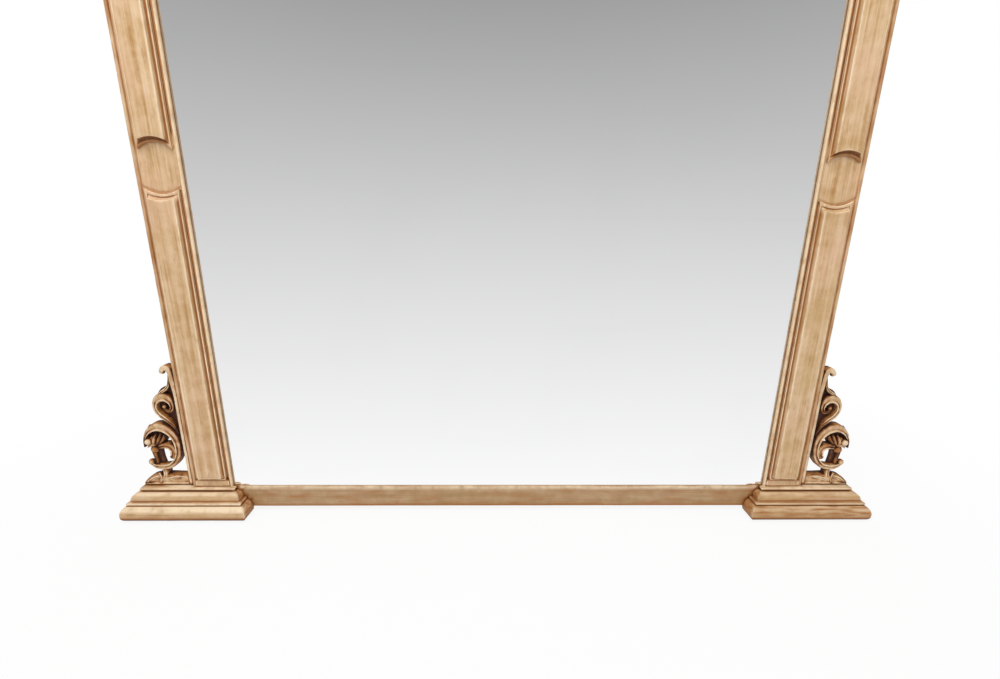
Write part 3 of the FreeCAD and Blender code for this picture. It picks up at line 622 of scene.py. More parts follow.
# Pilasters: each stile carries two half-round edge beads, a plain band at foot and head, and two raised
# panels with a ridge and a hollow round them, scooped at the bare roundel. Worked in pine and gilded.
BEAD_STEP = 12
BEAD_UPRIGHT = 1.5
BEAD_ARC_STEPS = 12
OVERHANG_TURN = 40
BAND_EASING = 0.8
BAND_FLAT = 4
BAND_STEP = 6
EASED_MIDDLE = 0.3
PANEL_STEP = 10
SCOOP_STEPS = 26
END_STEPS = 6
RIDGE_WIDTH = 3
COVE_WIDTH = 3.4
SCOOP_BAND = {1: 7.6, -1: 11}
RIDGE_EASING = 0.7
COVE_DEPTH = 1.8
COVE_STEPS = 8
NICK = 0.2
ARRIS = 0.8
# Cap on glaze and painted shade in the panels' hollows.
MOST_GLAZE_SHADE = 0.55
# Strength of the painted shadow along the joints of the panels and bands.
JOINT_SHADOW = 0.5

gilt_bead = limed_gilt("limed_gilt_bead", "z", 0.1)
gilt_panel = limed_gilt("limed_gilt_panel", "z", 0.06)
bead_low, bead_high = box_mm("bead_inner_right")


def arc(middle, radius, start, end, steps):
    """Points of a round from one angle to another, in degrees."""
    angles = np.radians(np.linspace(start, end, steps + 1))
    return [Vector((middle[0] + radius * math.cos(a), middle[1] + radius * math.sin(a))) for a in angles]


def outer_bead_stain(spots, hollow, ridge):
    """The outer bead is left brown, with a little glaze and painted shade from its hollows and no line of
    glaze beside it.
    """
    return 0.25 + 0.12 * hollow + 0.26 * smears(spots, 6, 24), 0.4 * ridge


def inner_bead_shade_and_highlight(spots, hollow, ridge):
    """Glaze and painted shade under the overhang at the glass and in the groove; the crown is pale with
    rubbed wear and painted highlight.
    """
    # The pale crown is rubbed wear and painted highlight; the hollows are glaze and painted shade.
    crown = 0.75 * (1 - soft_step(spots[:, 1], bead_low.y + 0.6, bead_low.y + 2))
    return 0.3 * np.minimum(hollow, 0.7), np.maximum(ridge, crown)


def edge_bead(place, side_name, side, stain_and_shading):
    """Half-round bead along one edge of the pilaster; at the glass its round runs on under the overhang."""
    low, high = box_mm(f"bead_{place}_right")
    half = (high.x - low.x) / 2
    end, foot = (-180 - OVERHANG_TURN, LIP_SETBACK) if place == "inner" else (-180, 0)
    crown = arc(((low.x + high.x) / 2, high.y - BEAD_UPRIGHT), half, 0, end, BEAD_ARC_STEPS)
    outline = [Vector((high.x, high.y))] + crown + [Vector((low.x + foot, max(high.y, crown[-1].y)))]
    heights = stations(low.z, high.z, BEAD_STEP)
    rings = [[(side * spot.x, spot.y, height) for spot in outline] for height in heights]
    node = f"bead_{place}_{side_name}"
    limed(node, [skin(rings)], gilt_bead, stain_and_shading, wander=0.25, span=18)


def joint_line(distance):
    """1 at the joint between the band and the panel, 0 a little away from it."""
    return 1 - soft_step(distance, 0.4, 1.6)


def band_glaze_and_shadow(spots, hollow, ridge):
    """A painted shadow lies along the joint between the band and the panel, with glaze and painted shade from
    the hollows.
    """
    # The dark line along the joint is painted shadow.
    joint = joint_line(spots[:, 2].max() - spots[:, 2])
    return np.maximum(0.8 * hollow, JOINT_SHADOW * joint), ridge * (1 - joint)


def raised_block(node, finish, stain_and_shading=None):
    """Flat block with its front edges eased, seated on the stile."""
    low, high = box_mm(node)

    def edges(inset):
        left, right, foot, head = low.x + inset, high.x - inset, low.z + inset, high.z - inset
        return [Vector(corner) for corner in ((left, foot), (right, foot), (right, head), (left, head))]

    counts = edge_counts(edges(0), BAND_STEP)
    turned = BAND_EASING * EASED_MIDDLE
    rows = [(0, high.y), (0, low.y + BAND_EASING), (turned, low.y + turned)]
    rows += [(BAND_EASING, low.y), (BAND_FLAT, low.y)]
    rings = [[(spot.x, deep, spot.y) for spot in divided(edges(inset), counts)] for inset, deep in rows]
    limed(node, [skin(rings)], finish, stain_and_shading, wander=0.2)


def panel_profile(rise, scoop_band):
    """Rings of the panel moulding: side inset, scoop inset and height above the groove floor."""
    ridge_top = bead_high.y - bead_low.y
    floor = ridge_top - COVE_DEPTH
    edge = RIDGE_WIDTH + COVE_WIDTH
    turned = RIDGE_EASING * EASED_MIDDLE
    rows = [(0, 0), (0, ridge_top - RIDGE_EASING), (turned, ridge_top - turned), (RIDGE_EASING, ridge_top)]
    rows += [(RIDGE_WIDTH - RIDGE_EASING, ridge_top), (RIDGE_WIDTH - NICK, ridge_top - 2 * NICK)]
    rows += [(RIDGE_WIDTH, ridge_top - 5 * NICK), (RIDGE_WIDTH + NICK, floor + NICK)]
    sweep = rise - ARRIS * 0.5 - floor
    for angle in np.radians(np.linspace(10, 90, COVE_STEPS)):
        inset = RIDGE_WIDTH + NICK + (COVE_WIDTH - NICK) * math.sin(angle)
        rows.append((inset, floor + sweep * (1 - math.cos(angle))))
    rows += [(edge + ARRIS * EASED_MIDDLE, rise - ARRIS * EASED_MIDDLE / 2), (edge + ARRIS, rise)]
    rows += [(edge + flat, rise) for flat in (4, 9)]
    stretch = scoop_band / edge
    return [(inset, min(inset, edge) * stretch + max(inset - edge, 0), level) for inset, level in rows]


def margin_highlight(across):
    """A painted highlight along the edge of the field on the sight side."""
    inset = panel_half + across - RIDGE_WIDTH - COVE_WIDTH
    return 0.7 * soft_step(inset, -0.4, 0.2) * (1 - soft_step(inset, 1.5, 4.5))


def far_side(across):
    """1 on the side of the panel away from the glass, where glaze and painted shade are thinned."""
    return soft_step(across, panel_half - 8, panel_half - 4)


# Glaze and painted shade from the hollows, capped, and thinned where the mask is high.
def thinned_glaze_shade(hollow, far_thinning):
    return np.minimum(hollow, MOST_GLAZE_SHADE) * (1 - 0.8 * far_thinning)


def upper_panel_shade_and_highlight(spots, hollow, ridge):
    """Painted shade on the ridge and hollow of the upper scoop, which face down; glaze and painted shade from
    the hollows thinned on the side away from the glass; painted highlight on the field's sight-side edge,
    little at the scoop.
    """
    middle, radius = scoop(1, side_of(spots))
    across = abs(spots[:, 0]) - panel_middle
    inside = np.hypot(across, spots[:, 2] - middle) - radius
    band = SCOOP_BAND[1]
    near_scoop = (spots[:, 2] < panel_foot + 40) * (1 - soft_step(inside, band - 0.6, band + 0.4))
    # The brown here is painted shade on the downward-facing scoop.
    brown = near_scoop * (0.44 + 0.3 * soft_step(inside, 3.6, 4.6)) * (1 - 0.8 * soft_step(-across, 20, 27))
    hollow = np.maximum(brown, thinned_glaze_shade(hollow, far_side(across) * (1 - near_scoop)))
    return hollow, np.maximum(ridge, margin_highlight(across)) * (1 - 0.7 * near_scoop)


def lower_panel_shadow_and_highlight(spots, hollow, ridge):
    """The field is brown just under the lower scoop; glaze and painted shade from the hollows thinned on the
    side away from the glass; painted shadow along the joint at its foot; painted highlight on the field's
    sight-side edge.
    """
    middle, radius = scoop(-1, side_of(spots))
    across = abs(spots[:, 0]) - panel_middle
    inside = np.hypot(across, spots[:, 2] - middle) - radius - SCOOP_BAND[-1]
    brown_under_scoop = 0.14 * soft_step(inside, 1, 3) * (1 - soft_step(inside, 8, 45))
    far_thinning = far_side(across) * soft_step(inside, -4, 4)
    # The dark line at the panel's foot is painted shadow.
    joint = joint_line(spots[:, 2] - spots[:, 2].min())
    brown = np.maximum.reduce([brown_under_scoop, thinned_glaze_shade(hollow, far_thinning), JOINT_SHADOW * joint])
    return brown, np.maximum(ridge, margin_highlight(across)) * (1 - joint)


def scooped_panel(node, up, side, stain_and_shading):
    """Raised panel; up is +1 where its scooped end is its foot, -1 where it is its head."""
    low, high = box_mm(node)
    middle = (low.x + high.x) / 2
    far = high.z if up > 0 else low.z
    centre, radius = scoop(up, side)
    side_steps = round((high.z - low.z) / PANEL_STEP)
    rings = []
    for inset, scoop_inset, level in panel_profile(high.y - low.y, SCOOP_BAND[up]):
        reach, bow, end = panel_half - inset, radius + scoop_inset, far - up * inset
        tilt = math.asin(reach / bow)
        turn = np.linspace(tilt, -tilt, SCOOP_STEPS + 1)
        spots = [(bow * math.sin(a), centre + up * bow * math.cos(a)) for a in turn]
        corner = spots[0][1]
        spots += [(-reach, corner + (end - corner) * step / side_steps) for step in range(1, side_steps + 1)]
        spots += [(-reach + 2 * reach * step / END_STEPS, end) for step in range(1, END_STEPS + 1)]
        spots += [(reach, end + (corner - end) * step / side_steps) for step in range(1, side_steps)]
        rings.append([(middle + x, face - level, z) for x, z in spots])
    limed(node, [skin(rings)], gilt_panel, stain_and_shading, wander=0.12, span=30)


for side_name, side in SIDES:
    edge_bead("inner", side_name, side, inner_bead_shade_and_highlight)
    edge_bead("outer", side_name, side, outer_bead_stain)
    for place in ("foot", "head"):
        raised_block(f"pilaster_{place}_{side_name}", gilt_bead, band_glaze_and_shadow)
    scooped_panel(f"panel_upper_{side_name}", 1, side, upper_panel_shade_and_highlight)
    scooped_panel(f"panel_lower_{side_name}", -1, side, lower_panel_shadow_and_highlight)

# Plinths: a round-nosed base board, a pine core, ovolo strips mitred round the corners and a thin cap
# board, glued up round the foot of each stile and carried out under the bracket.
MOULDING_STEP = 6
NOSE_STEPS = 9
NOSE_UNDER = 0.36
NOSE_OVER = 0.5
CORNER_EASING = 1.5
CAP_EASING = 1.0
OVOLO_STEPS = 10
FILLET_HEIGHT = 4
FILLET_EASING = 0.7
INNER_EASING = 0.5
OVOLO_DROP = 4
OVOLO_RADIUS = 12
QUIRK_DEPTH = 1.5

gilt_plinth = limed_gilt("limed_gilt_plinth", "x", 0.15)
gilt_return = limed_gilt("limed_gilt_return", "y", 0.15)
cap_low, cap_high = box_mm("plinth_cap_right")
base_low, base_high = box_mm("plinth_base_right")
ovolo_low, ovolo_high = box_mm("plinth_ovolo_outer_right")
cap_inside, cap_outside, cap_front = cap_low.x, cap_high.x, cap_low.y
nose_reach = base_high.x - cap_outside
fillet_reach = ovolo_high.x - cap_outside
strip_back = cap_outside - ovolo_low.x


def nose(reach, height):
    """Round nose of a board, its lower turn tighter than its upper one."""
    under, over = height * NOSE_UNDER, height * NOSE_OVER
    lower = arc((reach - under, under), under, -90, 0, NOSE_STEPS)
    return lower + arc((reach - over, height - over), over, 0, 90, NOSE_STEPS)


def moulded_board(profile, inside, far, front, base, side=1, notch=None):
    """Board with a profile of (reach, height) along its front and both ends, notched round the stile."""
    near = back if notch is None else face
    rings = []
    for reach, height in profile:
        plan = [
            (inside - reach, near, 0), (inside - reach, front - reach, CORNER_EASING),
            (far + reach, front - reach, CORNER_EASING), (far + reach, back, 0),
        ]
        if notch is not None:
            plan += [(notch, back, 0), (notch, face, 0)]
        outline = rounded(plan)
        if not rings:
            counts = edge_counts(outline, MOULDING_STEP)
        rings.append([(side * spot.x, spot.y, base + height) for spot in divided(outline, counts)])
    return skin(rings)


def ovolo_profile(height):
    """Fillet, upright, quarter round and quirk of the strip, closed behind."""
    spring = FILLET_HEIGHT + OVOLO_DROP
    foot = [
        (-strip_back, 0, 0), (fillet_reach, 0, FILLET_EASING), (fillet_reach, FILLET_HEIGHT, FILLET_EASING),
        (OVOLO_RADIUS, FILLET_HEIGHT, INNER_EASING), (OVOLO_RADIUS, spring, 0),
    ]
    head = [(-QUIRK_DEPTH, spring + OVOLO_RADIUS, 0), (-QUIRK_DEPTH, height, 0), (-strip_back, height, 0)]
    outline = rounded(foot + head)
    split = outline.index(Vector((OVOLO_RADIUS, spring)))
    return outline[:split] + arc((0, spring), OVOLO_RADIUS, 0, 90, OVOLO_STEPS) + outline[split + 1:]


def front_strip(profile, inside, far, front, base, side=1, up=1):
    """Strip along the front, mitred at both ends."""
    steps = round((far - inside) / MOULDING_STEP)
    rings = []
    for share in np.arange(steps + 1) / steps:
        row = []
        for reach, height in profile:
            along = inside - reach + share * (far - inside + 2 * reach)
            row.append((side * along, front - reach, base + up * height))
        rings.append(row)
    return skin(rings)


def return_strip(profile, corner, front, rear, base, outward, side=1, up=1):
    """Strip that turns the corner with a mitre and runs back to the rear."""
    steps = max(4, round((rear - front) / MOULDING_STEP))
    rings = []
    for share in np.arange(steps + 1) / steps:
        row = []
        for reach, height in profile:
            deep = front - reach + share * (rear - front + reach)
            row.append((side * (corner + outward * reach), deep, base + up * height))
        rings.append(row)
    return skin(rings)


def brown_on_returns(spots, streaks):
    """Brown on the short returns beside the rail."""
    inward = cap_inside - abs(spots[:, 0])
    place = soft_step(inward - (cap_front - spots[:, 1]), 0.3, 3) * (inward > -2)
    return (0.42 + 0.3 * streaks) * place


def nose_shade_and_highlight(spots, hollow, ridge):
    """A painted highlight on the top of the nose, weaker on the right; painted shade below it, brown streaks,
    more brown on the right, and brown on its returns.
    """
    share = (spots[:, 2] - base_low.z) / (base_high.z - base_low.z)
    right = (spots[:, 0] > 0) * 1.0
    # The brown on the lower turn is painted shade; the pale on the top is painted highlight.
    under = 0.34 * (1 - soft_step(share, 0.24, 0.58)) + 0.4 * (1 - soft_step(share, 0.22, 0.36))
    streaks = smears(spots, 30, 4)
    crown = (0.9 - 0.6 * right) * soft_step(share, 0.6, 0.76) * (1 - soft_step(share, 0.96, 1.0))
    brown = np.maximum(under, (0.24 + 0.34 * streaks) * right) + 0.12 * np.clip(streaks, 0, 1)
    hollow = np.maximum.reduce([0.85 * hollow, brown, brown_on_returns(spots, streaks)])
    return hollow, np.maximum((1 - 0.5 * right) * ridge, crown)


def ovolo_shade_and_highlight(spots, hollow, ridge):
    """Painted highlights on the fillet and the shoulder, weaker on the right; painted shade on the upright,
    more brown on the right, and brown on the returns.
    """
    height = spots[:, 2] - ovolo_low.z
    right = (spots[:, 0] > 0) * 1.0
    streaks = smears(spots, 30, 4)
    over_fillet = height - FILLET_HEIGHT
    over_spring = over_fillet - OVOLO_DROP
    # The brown on the upright is painted shade; the pale on the fillet and the shoulder is painted highlight.
    upright = 0.2 * soft_step(over_fillet, 0, 1) * (1 - soft_step(over_spring, 0, 5))
    brown = [upright, (0.17 + 0.14 * streaks) * right, brown_on_returns(spots, streaks)]
    brown = np.maximum.reduce(brown) + 0.1 * np.clip(streaks, 0, 1)
    fillet = 0.8 * (1 - soft_step(over_fillet, -0.3, 0.3))
    shoulder = 0.7 * soft_step(over_spring, 6, 9) * (1 - soft_step(over_spring, 11.4, 12))
    pale = (1 - 0.45 * right) * np.maximum.reduce([ridge, fillet, shoulder])
    return np.maximum(0.85 * hollow, brown), pale


base_height = base_high.z - base_low.z
strip_height = ovolo_high.z - ovolo_low.z
cap_height = cap_high.z - cap_low.z
cap_turn = CAP_EASING * EASED_MIDDLE
cap_profile = [(-CAP_EASING, 0), (0, CAP_EASING), (0, cap_height - CAP_EASING)]
cap_profile += [(-cap_turn, cap_height - cap_turn), (-CAP_EASING, cap_height)]
strip = ovolo_profile(strip_height)
base_nose = nose(nose_reach, base_height)
for side_name, side in SIDES:
    refinish(f"plinth_core_{side_name}", pine_upright)
    board = moulded_board(base_nose, cap_inside, cap_outside, cap_front, base_low.z, side, outside)
    limed(f"plinth_base_{side_name}", [board], gilt_plinth, nose_shade_and_highlight, bare=pine_across, wander=0.4, span=40)
    front = front_strip(strip, cap_inside, cap_outside, cap_front, ovolo_low.z, side)
    limed(f"plinth_ovolo_front_{side_name}", [front], gilt_plinth, ovolo_shade_and_highlight, wander=0.3)
    outer = return_strip(strip, cap_outside, cap_front, back, ovolo_low.z, 1, side)
    limed(f"plinth_ovolo_outer_{side_name}", [outer], gilt_return, ovolo_shade_and_highlight, wander=0.3)
    inner = return_strip(strip, cap_inside, cap_front, face, ovolo_low.z, -1, side)
    limed(f"plinth_ovolo_inner_{side_name}", [inner], gilt_return, ovolo_shade_and_highlight, wander=0.3)
    cap = moulded_board(cap_profile, cap_inside, cap_outside, cap_front, cap_low.z, side, outside)
    limed(f"plinth_cap_{side_name}", [cap], gilt_plinth, bare=pine_across, wander=0.25)

# Side brackets: each pierced scroll is carved from pine and planted on the plinth beside the pilaster:
# a batten with a curled finial, an S-scroll over a C-scroll, an inner curl with leaves, and a leafy foot.
# A section is given by shares of the band's width and depths in millimetres; THROUGH cuts to the back.
THROUGH = 99
LEAF_DEPTH = 15
ROLLED_SCROLL = [
    (-0.5, THROUGH), (-0.5, 6), (-0.46, 3.4), (-0.37, 1.7), (-0.24, 1.0), (-0.06, 1.2), (0.08, 2.0),
    (0.17, 2.4), (0.22, 1.3), (0.29, 0.3), (0.38, 0), (0.46, 0.6), (0.5, 2.2), (0.5, THROUGH),
]
VEINED_LEAF = [
    (-0.5, LEAF_DEPTH), (-0.5, 5.5), (-0.42, 2.6), (-0.28, 0.7), (-0.12, 0.1), (-0.04, 1.1),
    (0.04, 1.1), (0.12, 0.1), (0.28, 0.7), (0.42, 2.6), (0.5, 5.5), (0.5, LEAF_DEPTH),
]
ROUND_LOBE = [
    (-0.5, LEAF_DEPTH), (-0.5, 6), (-0.43, 3), (-0.3, 1), (-0.12, 0),
    (0.1, 0.1), (0.26, 1.2), (0.4, 3.2), (0.5, 6), (0.5, LEAF_DEPTH),
]
EASED_BATTEN = [
    (-0.5, THROUGH), (-0.5, 2.4), (-0.44, 0.8), (-0.3, 0), (0, -0.2),
    (0.3, 0), (0.44, 0.8), (0.5, 2.4), (0.5, THROUGH),
]
SUNK_GROUND = [(-0.5, THROUGH), (-0.5, 0.6), (-0.45, 0), (0.45, 0), (0.5, 0.6), (0.5, THROUGH)]
FOOT_MOULD = [
    (-0.5, THROUGH), (-0.5, 1.6), (-0.46, 0.2), (-0.37, -0.5), (-0.28, 0.1), (-0.24, 1.7), (-0.17, 1.2),
    (0, 0.5), (0.2, 0.9), (0.35, 2.3), (0.45, 4.4), (0.5, 7), (0.5, THROUGH),
]
STEPS_PER_STOP = 7
BUD_RINGS = 10
BUD_SIDES = 16
OVAL_MIDDLE = (54, 83.5)
OVAL_RADII = (33, 44)

gilt_carved = limed_gilt("limed_gilt_carved", "z", 0.12)
curl_low, curl_high = box_mm("bracket_lower_scroll_right")
bracket_front, bracket_depth = curl_low.y, curl_high.y - curl_low.y
plinth_top = cap_high.z


def on_bracket(side, across, up, deep):
    """A point measured outward from the pilaster, up from the plinth and back from the bracket's front."""
    return side * (outside + across), bracket_front + min(deep, bracket_depth), plinth_top + up


def smooth(stops):
    """Rows along the curve that passes through the stops."""
    rows = np.array(stops, float)
    rows = np.vstack([2 * rows[0] - rows[1], rows, 2 * rows[-1] - rows[-2]])
    line = []
    for a, b, c, d in zip(rows, rows[1:], rows[2:], rows[3:]):
        for t in np.arange(STEPS_PER_STOP) / STEPS_PER_STOP:
            line.append(b + 0.5 * t * (c - a + t * (2 * a - 5 * b + 4 * c - d + t * (3 * (b - c) + d - a))))
    return np.array(line + [rows[-2]])


def carved_band(side, section, stops):
    """Band along stops of (across, up, width, depth behind the front), with its section across the band."""
    line = smooth(stops)
    way = np.gradient(line[:, :2], axis=0)
    way /= np.linalg.norm(way, axis=1)[:, None]
    rings = []
    for (across, up, width, front), (run, rise) in zip(line, way):
        rings.append([
            on_bracket(side, across - rise * share * width, up + run * share * width, front + deep)
            for share, deep in section
        ])
    return skin(rings)


def bud(side, across, up, deep, radius):
    """Round knob."""
    turn = np.linspace(0, math.tau, BUD_SIDES, endpoint=False)
    rings = []
    for polar in np.radians(np.linspace(6, 174, BUD_RINGS)):
        reach, front = radius * math.sin(polar), deep - radius * math.cos(polar)
        rings.append([
            on_bracket(side, across + reach * math.cos(a), up + reach * math.sin(a), front) for a in turn
        ])
    return skin(rings)


def carved_shade_and_highlight(spots, hollow, ridge):
    """Glaze and painted shade darken down the carving's walls and in its hollows; its most forward parts are
    pale with rubbed wear and painted highlight.
    """
    depth = spots[:, 1] - bracket_front
    # Darkening with depth behind the front is painted shade; the pale on the most forward parts is wear and
    # painted highlight.
    walls = 0.5 * soft_step(depth, 1.0, 4.2) + 0.38 * soft_step(depth, 7, 13)
    crest = 0.7 * (1 - soft_step(depth, 0.1, 1.1))
    dabs = 0.1 + 0.3 * smears(spots, 9, 9)
    return np.clip(1.5 * hollow + walls + dabs, 0, 1), np.maximum(ridge, crest)


def oval(angle, width, front):
    """Stop on the lower scroll's oval middle line."""
    across = OVAL_MIDDLE[0] + OVAL_RADII[0] * math.cos(math.radians(angle))
    up = OVAL_MIDDLE[1] + OVAL_RADII[1] * math.sin(math.radians(angle))
    return across, up, width, front


def sunk(depth, stops):
    """Stops of a ground that lies at one depth."""
    return [(*stop, depth) for stop in stops]


lower_scroll = [
    oval(0, 3, 2.5), oval(18, 5, 2), oval(45, 9, 0.8), oval(75, 15, 0), oval(100, 17, 0),
    oval(128, 15.5, 0.3), oval(155, 13, 0.8), oval(185, 11.5, 1), oval(215, 10.5, 1), oval(245, 11, 0.5),
    oval(270, 11, 0), (64.5, 39.8, 10.5, 0), (73, 42.5, 8.5, 0.5), (79, 47.5, 7, 1),
]
upper_scroll = [
    (18, 110, 4, 6), (22.5, 127, 7, 3.5), (33, 141.5, 9.5, 1.5), (44, 152.5, 9.5, 0.5), (50.5, 165, 9, 0.3),
    (49.5, 178, 11, 0), (41.5, 188, 15, 0), (29, 190, 16.5, 0), (19.5, 181, 12, 0.8), (18, 169.5, 8.5, 2),
    (23, 161, 7, 3), (30.5, 161, 6.5, 3), (35, 167.5, 6, 2.5),
]
scroll_ground = sunk(12, [
    (13, 104, 6), (15, 120, 12), (19, 135, 20), (26, 150, 34), (30, 165, 42), (31, 180, 42),
    (27, 194, 34), (20, 204, 20), (16, 212, 14), (13, 224, 8), (12, 236, 5),
])
spine = [
    (5, 0.5, 10, 0), (5, 60, 10, 0), (5, 130, 10.5, 0), (5, 190, 10.5, 0), (6, 206, 11, 0.2),
    (8, 222, 10.5, 0.5), (9.5, 236, 9.5, 0.7), (12.5, 246, 10, 0.5), (18.5, 249.5, 11, 0.2),
    (24.5, 245, 9, 0.3), (27, 239.5, 5, 1.2),
]
flare = [
    (42, 193, 6.5, 2), (33, 200.5, 7.5, 1.2), (24, 206.5, 7.5, 1),
    (18, 214, 6.5, 1), (15.5, 224, 5, 1.5), (14.5, 236, 3, 3),
]
inner_curl = [
    (60, 84, 8, 3), (49, 86.5, 11, 2), (38, 85, 13, 1.2), (31, 77.5, 14, 0.8),
    (31.5, 68.5, 14, 1), (35.5, 62, 11, 1.8), (41, 60.5, 6, 3),
]
leaf_stem = [(71.5, 86, 8, 3.5), (72.5, 74, 8, 3.5), (71, 60, 7, 4), (69, 46, 7, 4)]
stem_ground = sunk(11, [(65, 84, 12), (65.5, 72, 12), (64.5, 58, 11), (62.5, 44, 11)])
leaf_ground = sunk(13, [(66, 80, 12), (65, 88, 24), (63.5, 100, 37), (61.5, 114, 43), (60, 124, 36)])
leaf_lobes = [
    [(60, 89, 6, 6), (53.5, 94.5, 7.5, 4.5), (49, 102, 6.5, 5), (47.5, 109, 3.5, 8)],
    [(64, 88, 6, 5), (59.5, 96, 8.5, 3), (55.5, 105, 7, 4), (54, 112, 3.5, 8)],
    [(68.5, 87, 6, 4), (67.5, 96, 8.5, 1.5), (64.5, 104.5, 7, 2.5), (62, 111, 3.5, 7)],
    [(64, 88, 7, 4), (71, 88.5, 8.5, 2), (78, 86, 7, 2.5), (82.5, 82, 3.5, 5)],
]
foot_body = [
    (9.5, 12, 23, 0.5), (30, 12, 23, 0.5), (55, 12.5, 24, 0), (76, 11.5, 22, 0.5),
    (88, 8.5, 16, 1), (97, 5, 9, 2), (102, 2.3, 4, 4),
]
foot_leaves = [
    [(56, 16, 13, 1), (55.5, 28, 11.5, 1.5), (57, 40, 12, 2.5)],
    [(67, 27, 5, 0.5), (64.5, 17, 8, -0.8), (66, 8, 8, -0.8), (69, 2.5, 4, 0.5)],
    [(50, 14, 11, -0.3), (38, 17, 9, -0.2), (27, 18.5, 7, 0.3), (18, 18, 4, 1.5)],
    [(64, 20, 9, 0.5), (75, 17, 10, 0), (86, 11.5, 9, 0.5), (95, 6, 5, 1.8)],
]
leaf_bands = [(VEINED_LEAF, leaf_stem)] + [(ROUND_LOBE, lobe) for lobe in leaf_lobes]
leaf_bands += [(SUNK_GROUND, leaf_ground), (SUNK_GROUND, stem_ground)]
leaf_buds = [(77.5, 95, 5.5, 7.5), (69.5, 102, 8.5, 5.5), (71, 77, 11, 8.5)]
carvings = {
    "lower_scroll": ([(ROLLED_SCROLL, lower_scroll)], [(79.5, 50.5, 7, 6.5)]),
    "upper_scroll": ([(ROLLED_SCROLL, upper_scroll), (SUNK_GROUND, scroll_ground)], [(33.5, 170, 6.5, 4.5)]),
    "spine": ([(EASED_BATTEN, spine), (VEINED_LEAF, flare)], [(25, 241, 6, 4.5)]),
    "inner_curl": ([(ROLLED_SCROLL, inner_curl)] + leaf_bands, leaf_buds),
    "foot": ([(FOOT_MOULD, foot_body)] + [(VEINED_LEAF, leaf) for leaf in foot_leaves], []),
}
for side_name, side in SIDES:
    for part, (bands, buds) in carvings.items():
        shells = [carved_band(side, section, stops) for section, stops in bands]
        shells += [bud(side, *knob) for knob in buds]
        name, node = f"carved_{part}_{side_name}", f"bracket_{part}_{side_name}"
        work = {"bare": pine_upright, "wander": 0.3, "span": 12, "crease": 50}
        limed(node, shells, gilt_carved, carved_shade_and_highlight, name, **work)

# Head: a moulded capital over each pilaster, a plain block on the frieze above it, and a cornice of ovolo
# strips under a round-nosed top board. Built up and gilded like the plinths, turned the other way up.
NECK_REACH = 2
NECK_HEIGHT = 4
ECHINUS_RADIUS = 12
ABACUS_STEP = 2
CAPITAL_EASING = 0.8

capital_low, capital_high = box_mm("capital_right")
crown_low, crown_high = box_mm("cornice_top")
cornice_head = box_mm("cornice_ovolo_front")[1].z
bead_front = bead_low.y
spring = NECK_HEIGHT + ECHINUS_RADIUS
slab = NECK_REACH + ECHINUS_RADIUS + ABACUS_STEP
capital_height = capital_high.z - capital_low.z
capital_profile = [(NECK_REACH - CAPITAL_EASING, 0), (NECK_REACH, CAPITAL_EASING), (NECK_REACH, NECK_HEIGHT)]
capital_profile += arc((NECK_REACH, spring), ECHINUS_RADIUS, -90, 0, OVOLO_STEPS)[1:]
capital_profile += [(slab - CAPITAL_EASING, spring), (slab, spring + CAPITAL_EASING)]
capital_profile += [(slab, capital_height - CAPITAL_EASING), (slab - CAPITAL_EASING, capital_height)]
refinish("cornice_core", pine_across)
for side_name, side in SIDES:
    board = moulded_board(capital_profile, half_sight, outside, bead_front, capital_low.z, side, outside)
    limed(f"capital_{side_name}", [board], gilt_plinth, wander=0.3)
    raised_block(f"frieze_block_{side_name}", gilt_panel)
    turned = return_strip(strip, outside, bead_front, back, cornice_head, 1, side, -1)
    limed(f"cornice_ovolo_{side_name}", [turned], gilt_return, wander=0.3)
long_strip = front_strip(strip, -outside, outside, bead_front, cornice_head, up=-1)
limed("cornice_ovolo_front", [long_strip], gilt_plinth, wander=0.3)
crown_nose = nose(nose_reach, crown_high.z - crown_low.z)
crown = moulded_board(crown_nose, -outside, outside, bead_front, crown_low.z)
limed("cornice_top", [crown], gilt_plinth, bare=pine_across, wander=0.4, span=40)

# Hangers: two brass straps folded round the bar of a wire D-ring and screwed to the backs of the stiles.
# The rings swing on the straps; the brass has dulled.
hanger_brass = metal("hanger_brass", tone(206, 170, 96), tone(132, 98, 52), 0.3, 0.55)
for side_name, side in SIDES:
    refinish(f"hanger_strap_{side_name}", hanger_brass)
    refinish(f"hanger_ring_{side_name}", hanger_brass)
slotted_screws("slotted_hanger_screws", "hanger_screws")

# Glaze, shade and highlight: brown glaze was brushed over the gilding and wiped off. Where short rays from
# the surface meet nearby pieces or the shelf, the hollows get that glaze together with painted shade, and the
# sharply bent edges are made pale, part rubbed wear and part painted highlight. Both are measured on the
# finished pieces.
GLAZE_SHADE_REACH = 0.018
RAY_COUNT = 14
CLEAR_OF_SURFACE = 0.0003
OPEN_CORNER = 0.07
SHUT_CORNER = 0.5
SOFT_EDGE = 110
HARD_EDGE = 700
TURNED_AWAY = 0.7


def wall_of(pieces):
    """One search tree over the pieces and the shelf under them."""
    points, faces = [], []
    for piece in pieces:
        first = len(points)
        points += [vertex.co for vertex in piece.data.vertices]
        faces += [[first + corner for corner in face.vertices] for face in piece.data.polygons]
    first = len(points)
    points += [Vector((x, y, 0)) for x, y in ((-2, -2), (2, -2), (2, 2), (-2, 2))]
    faces.append([first, first + 1, first + 2, first + 3])
    return BVHTree.FromPolygons(points, faces)


def dome_of_rays():
    """Evenly spread directions over a half sphere, thinner towards its rim."""
    rays = []
    for number in range(RAY_COUNT):
        share = (number + 0.5) / RAY_COUNT
        turn = number * math.pi * (3 - math.sqrt(5))
        reach = math.sqrt(share)
        rays.append(Vector((reach * math.cos(turn), reach * math.sin(turn), math.sqrt(1 - share))))
    return rays


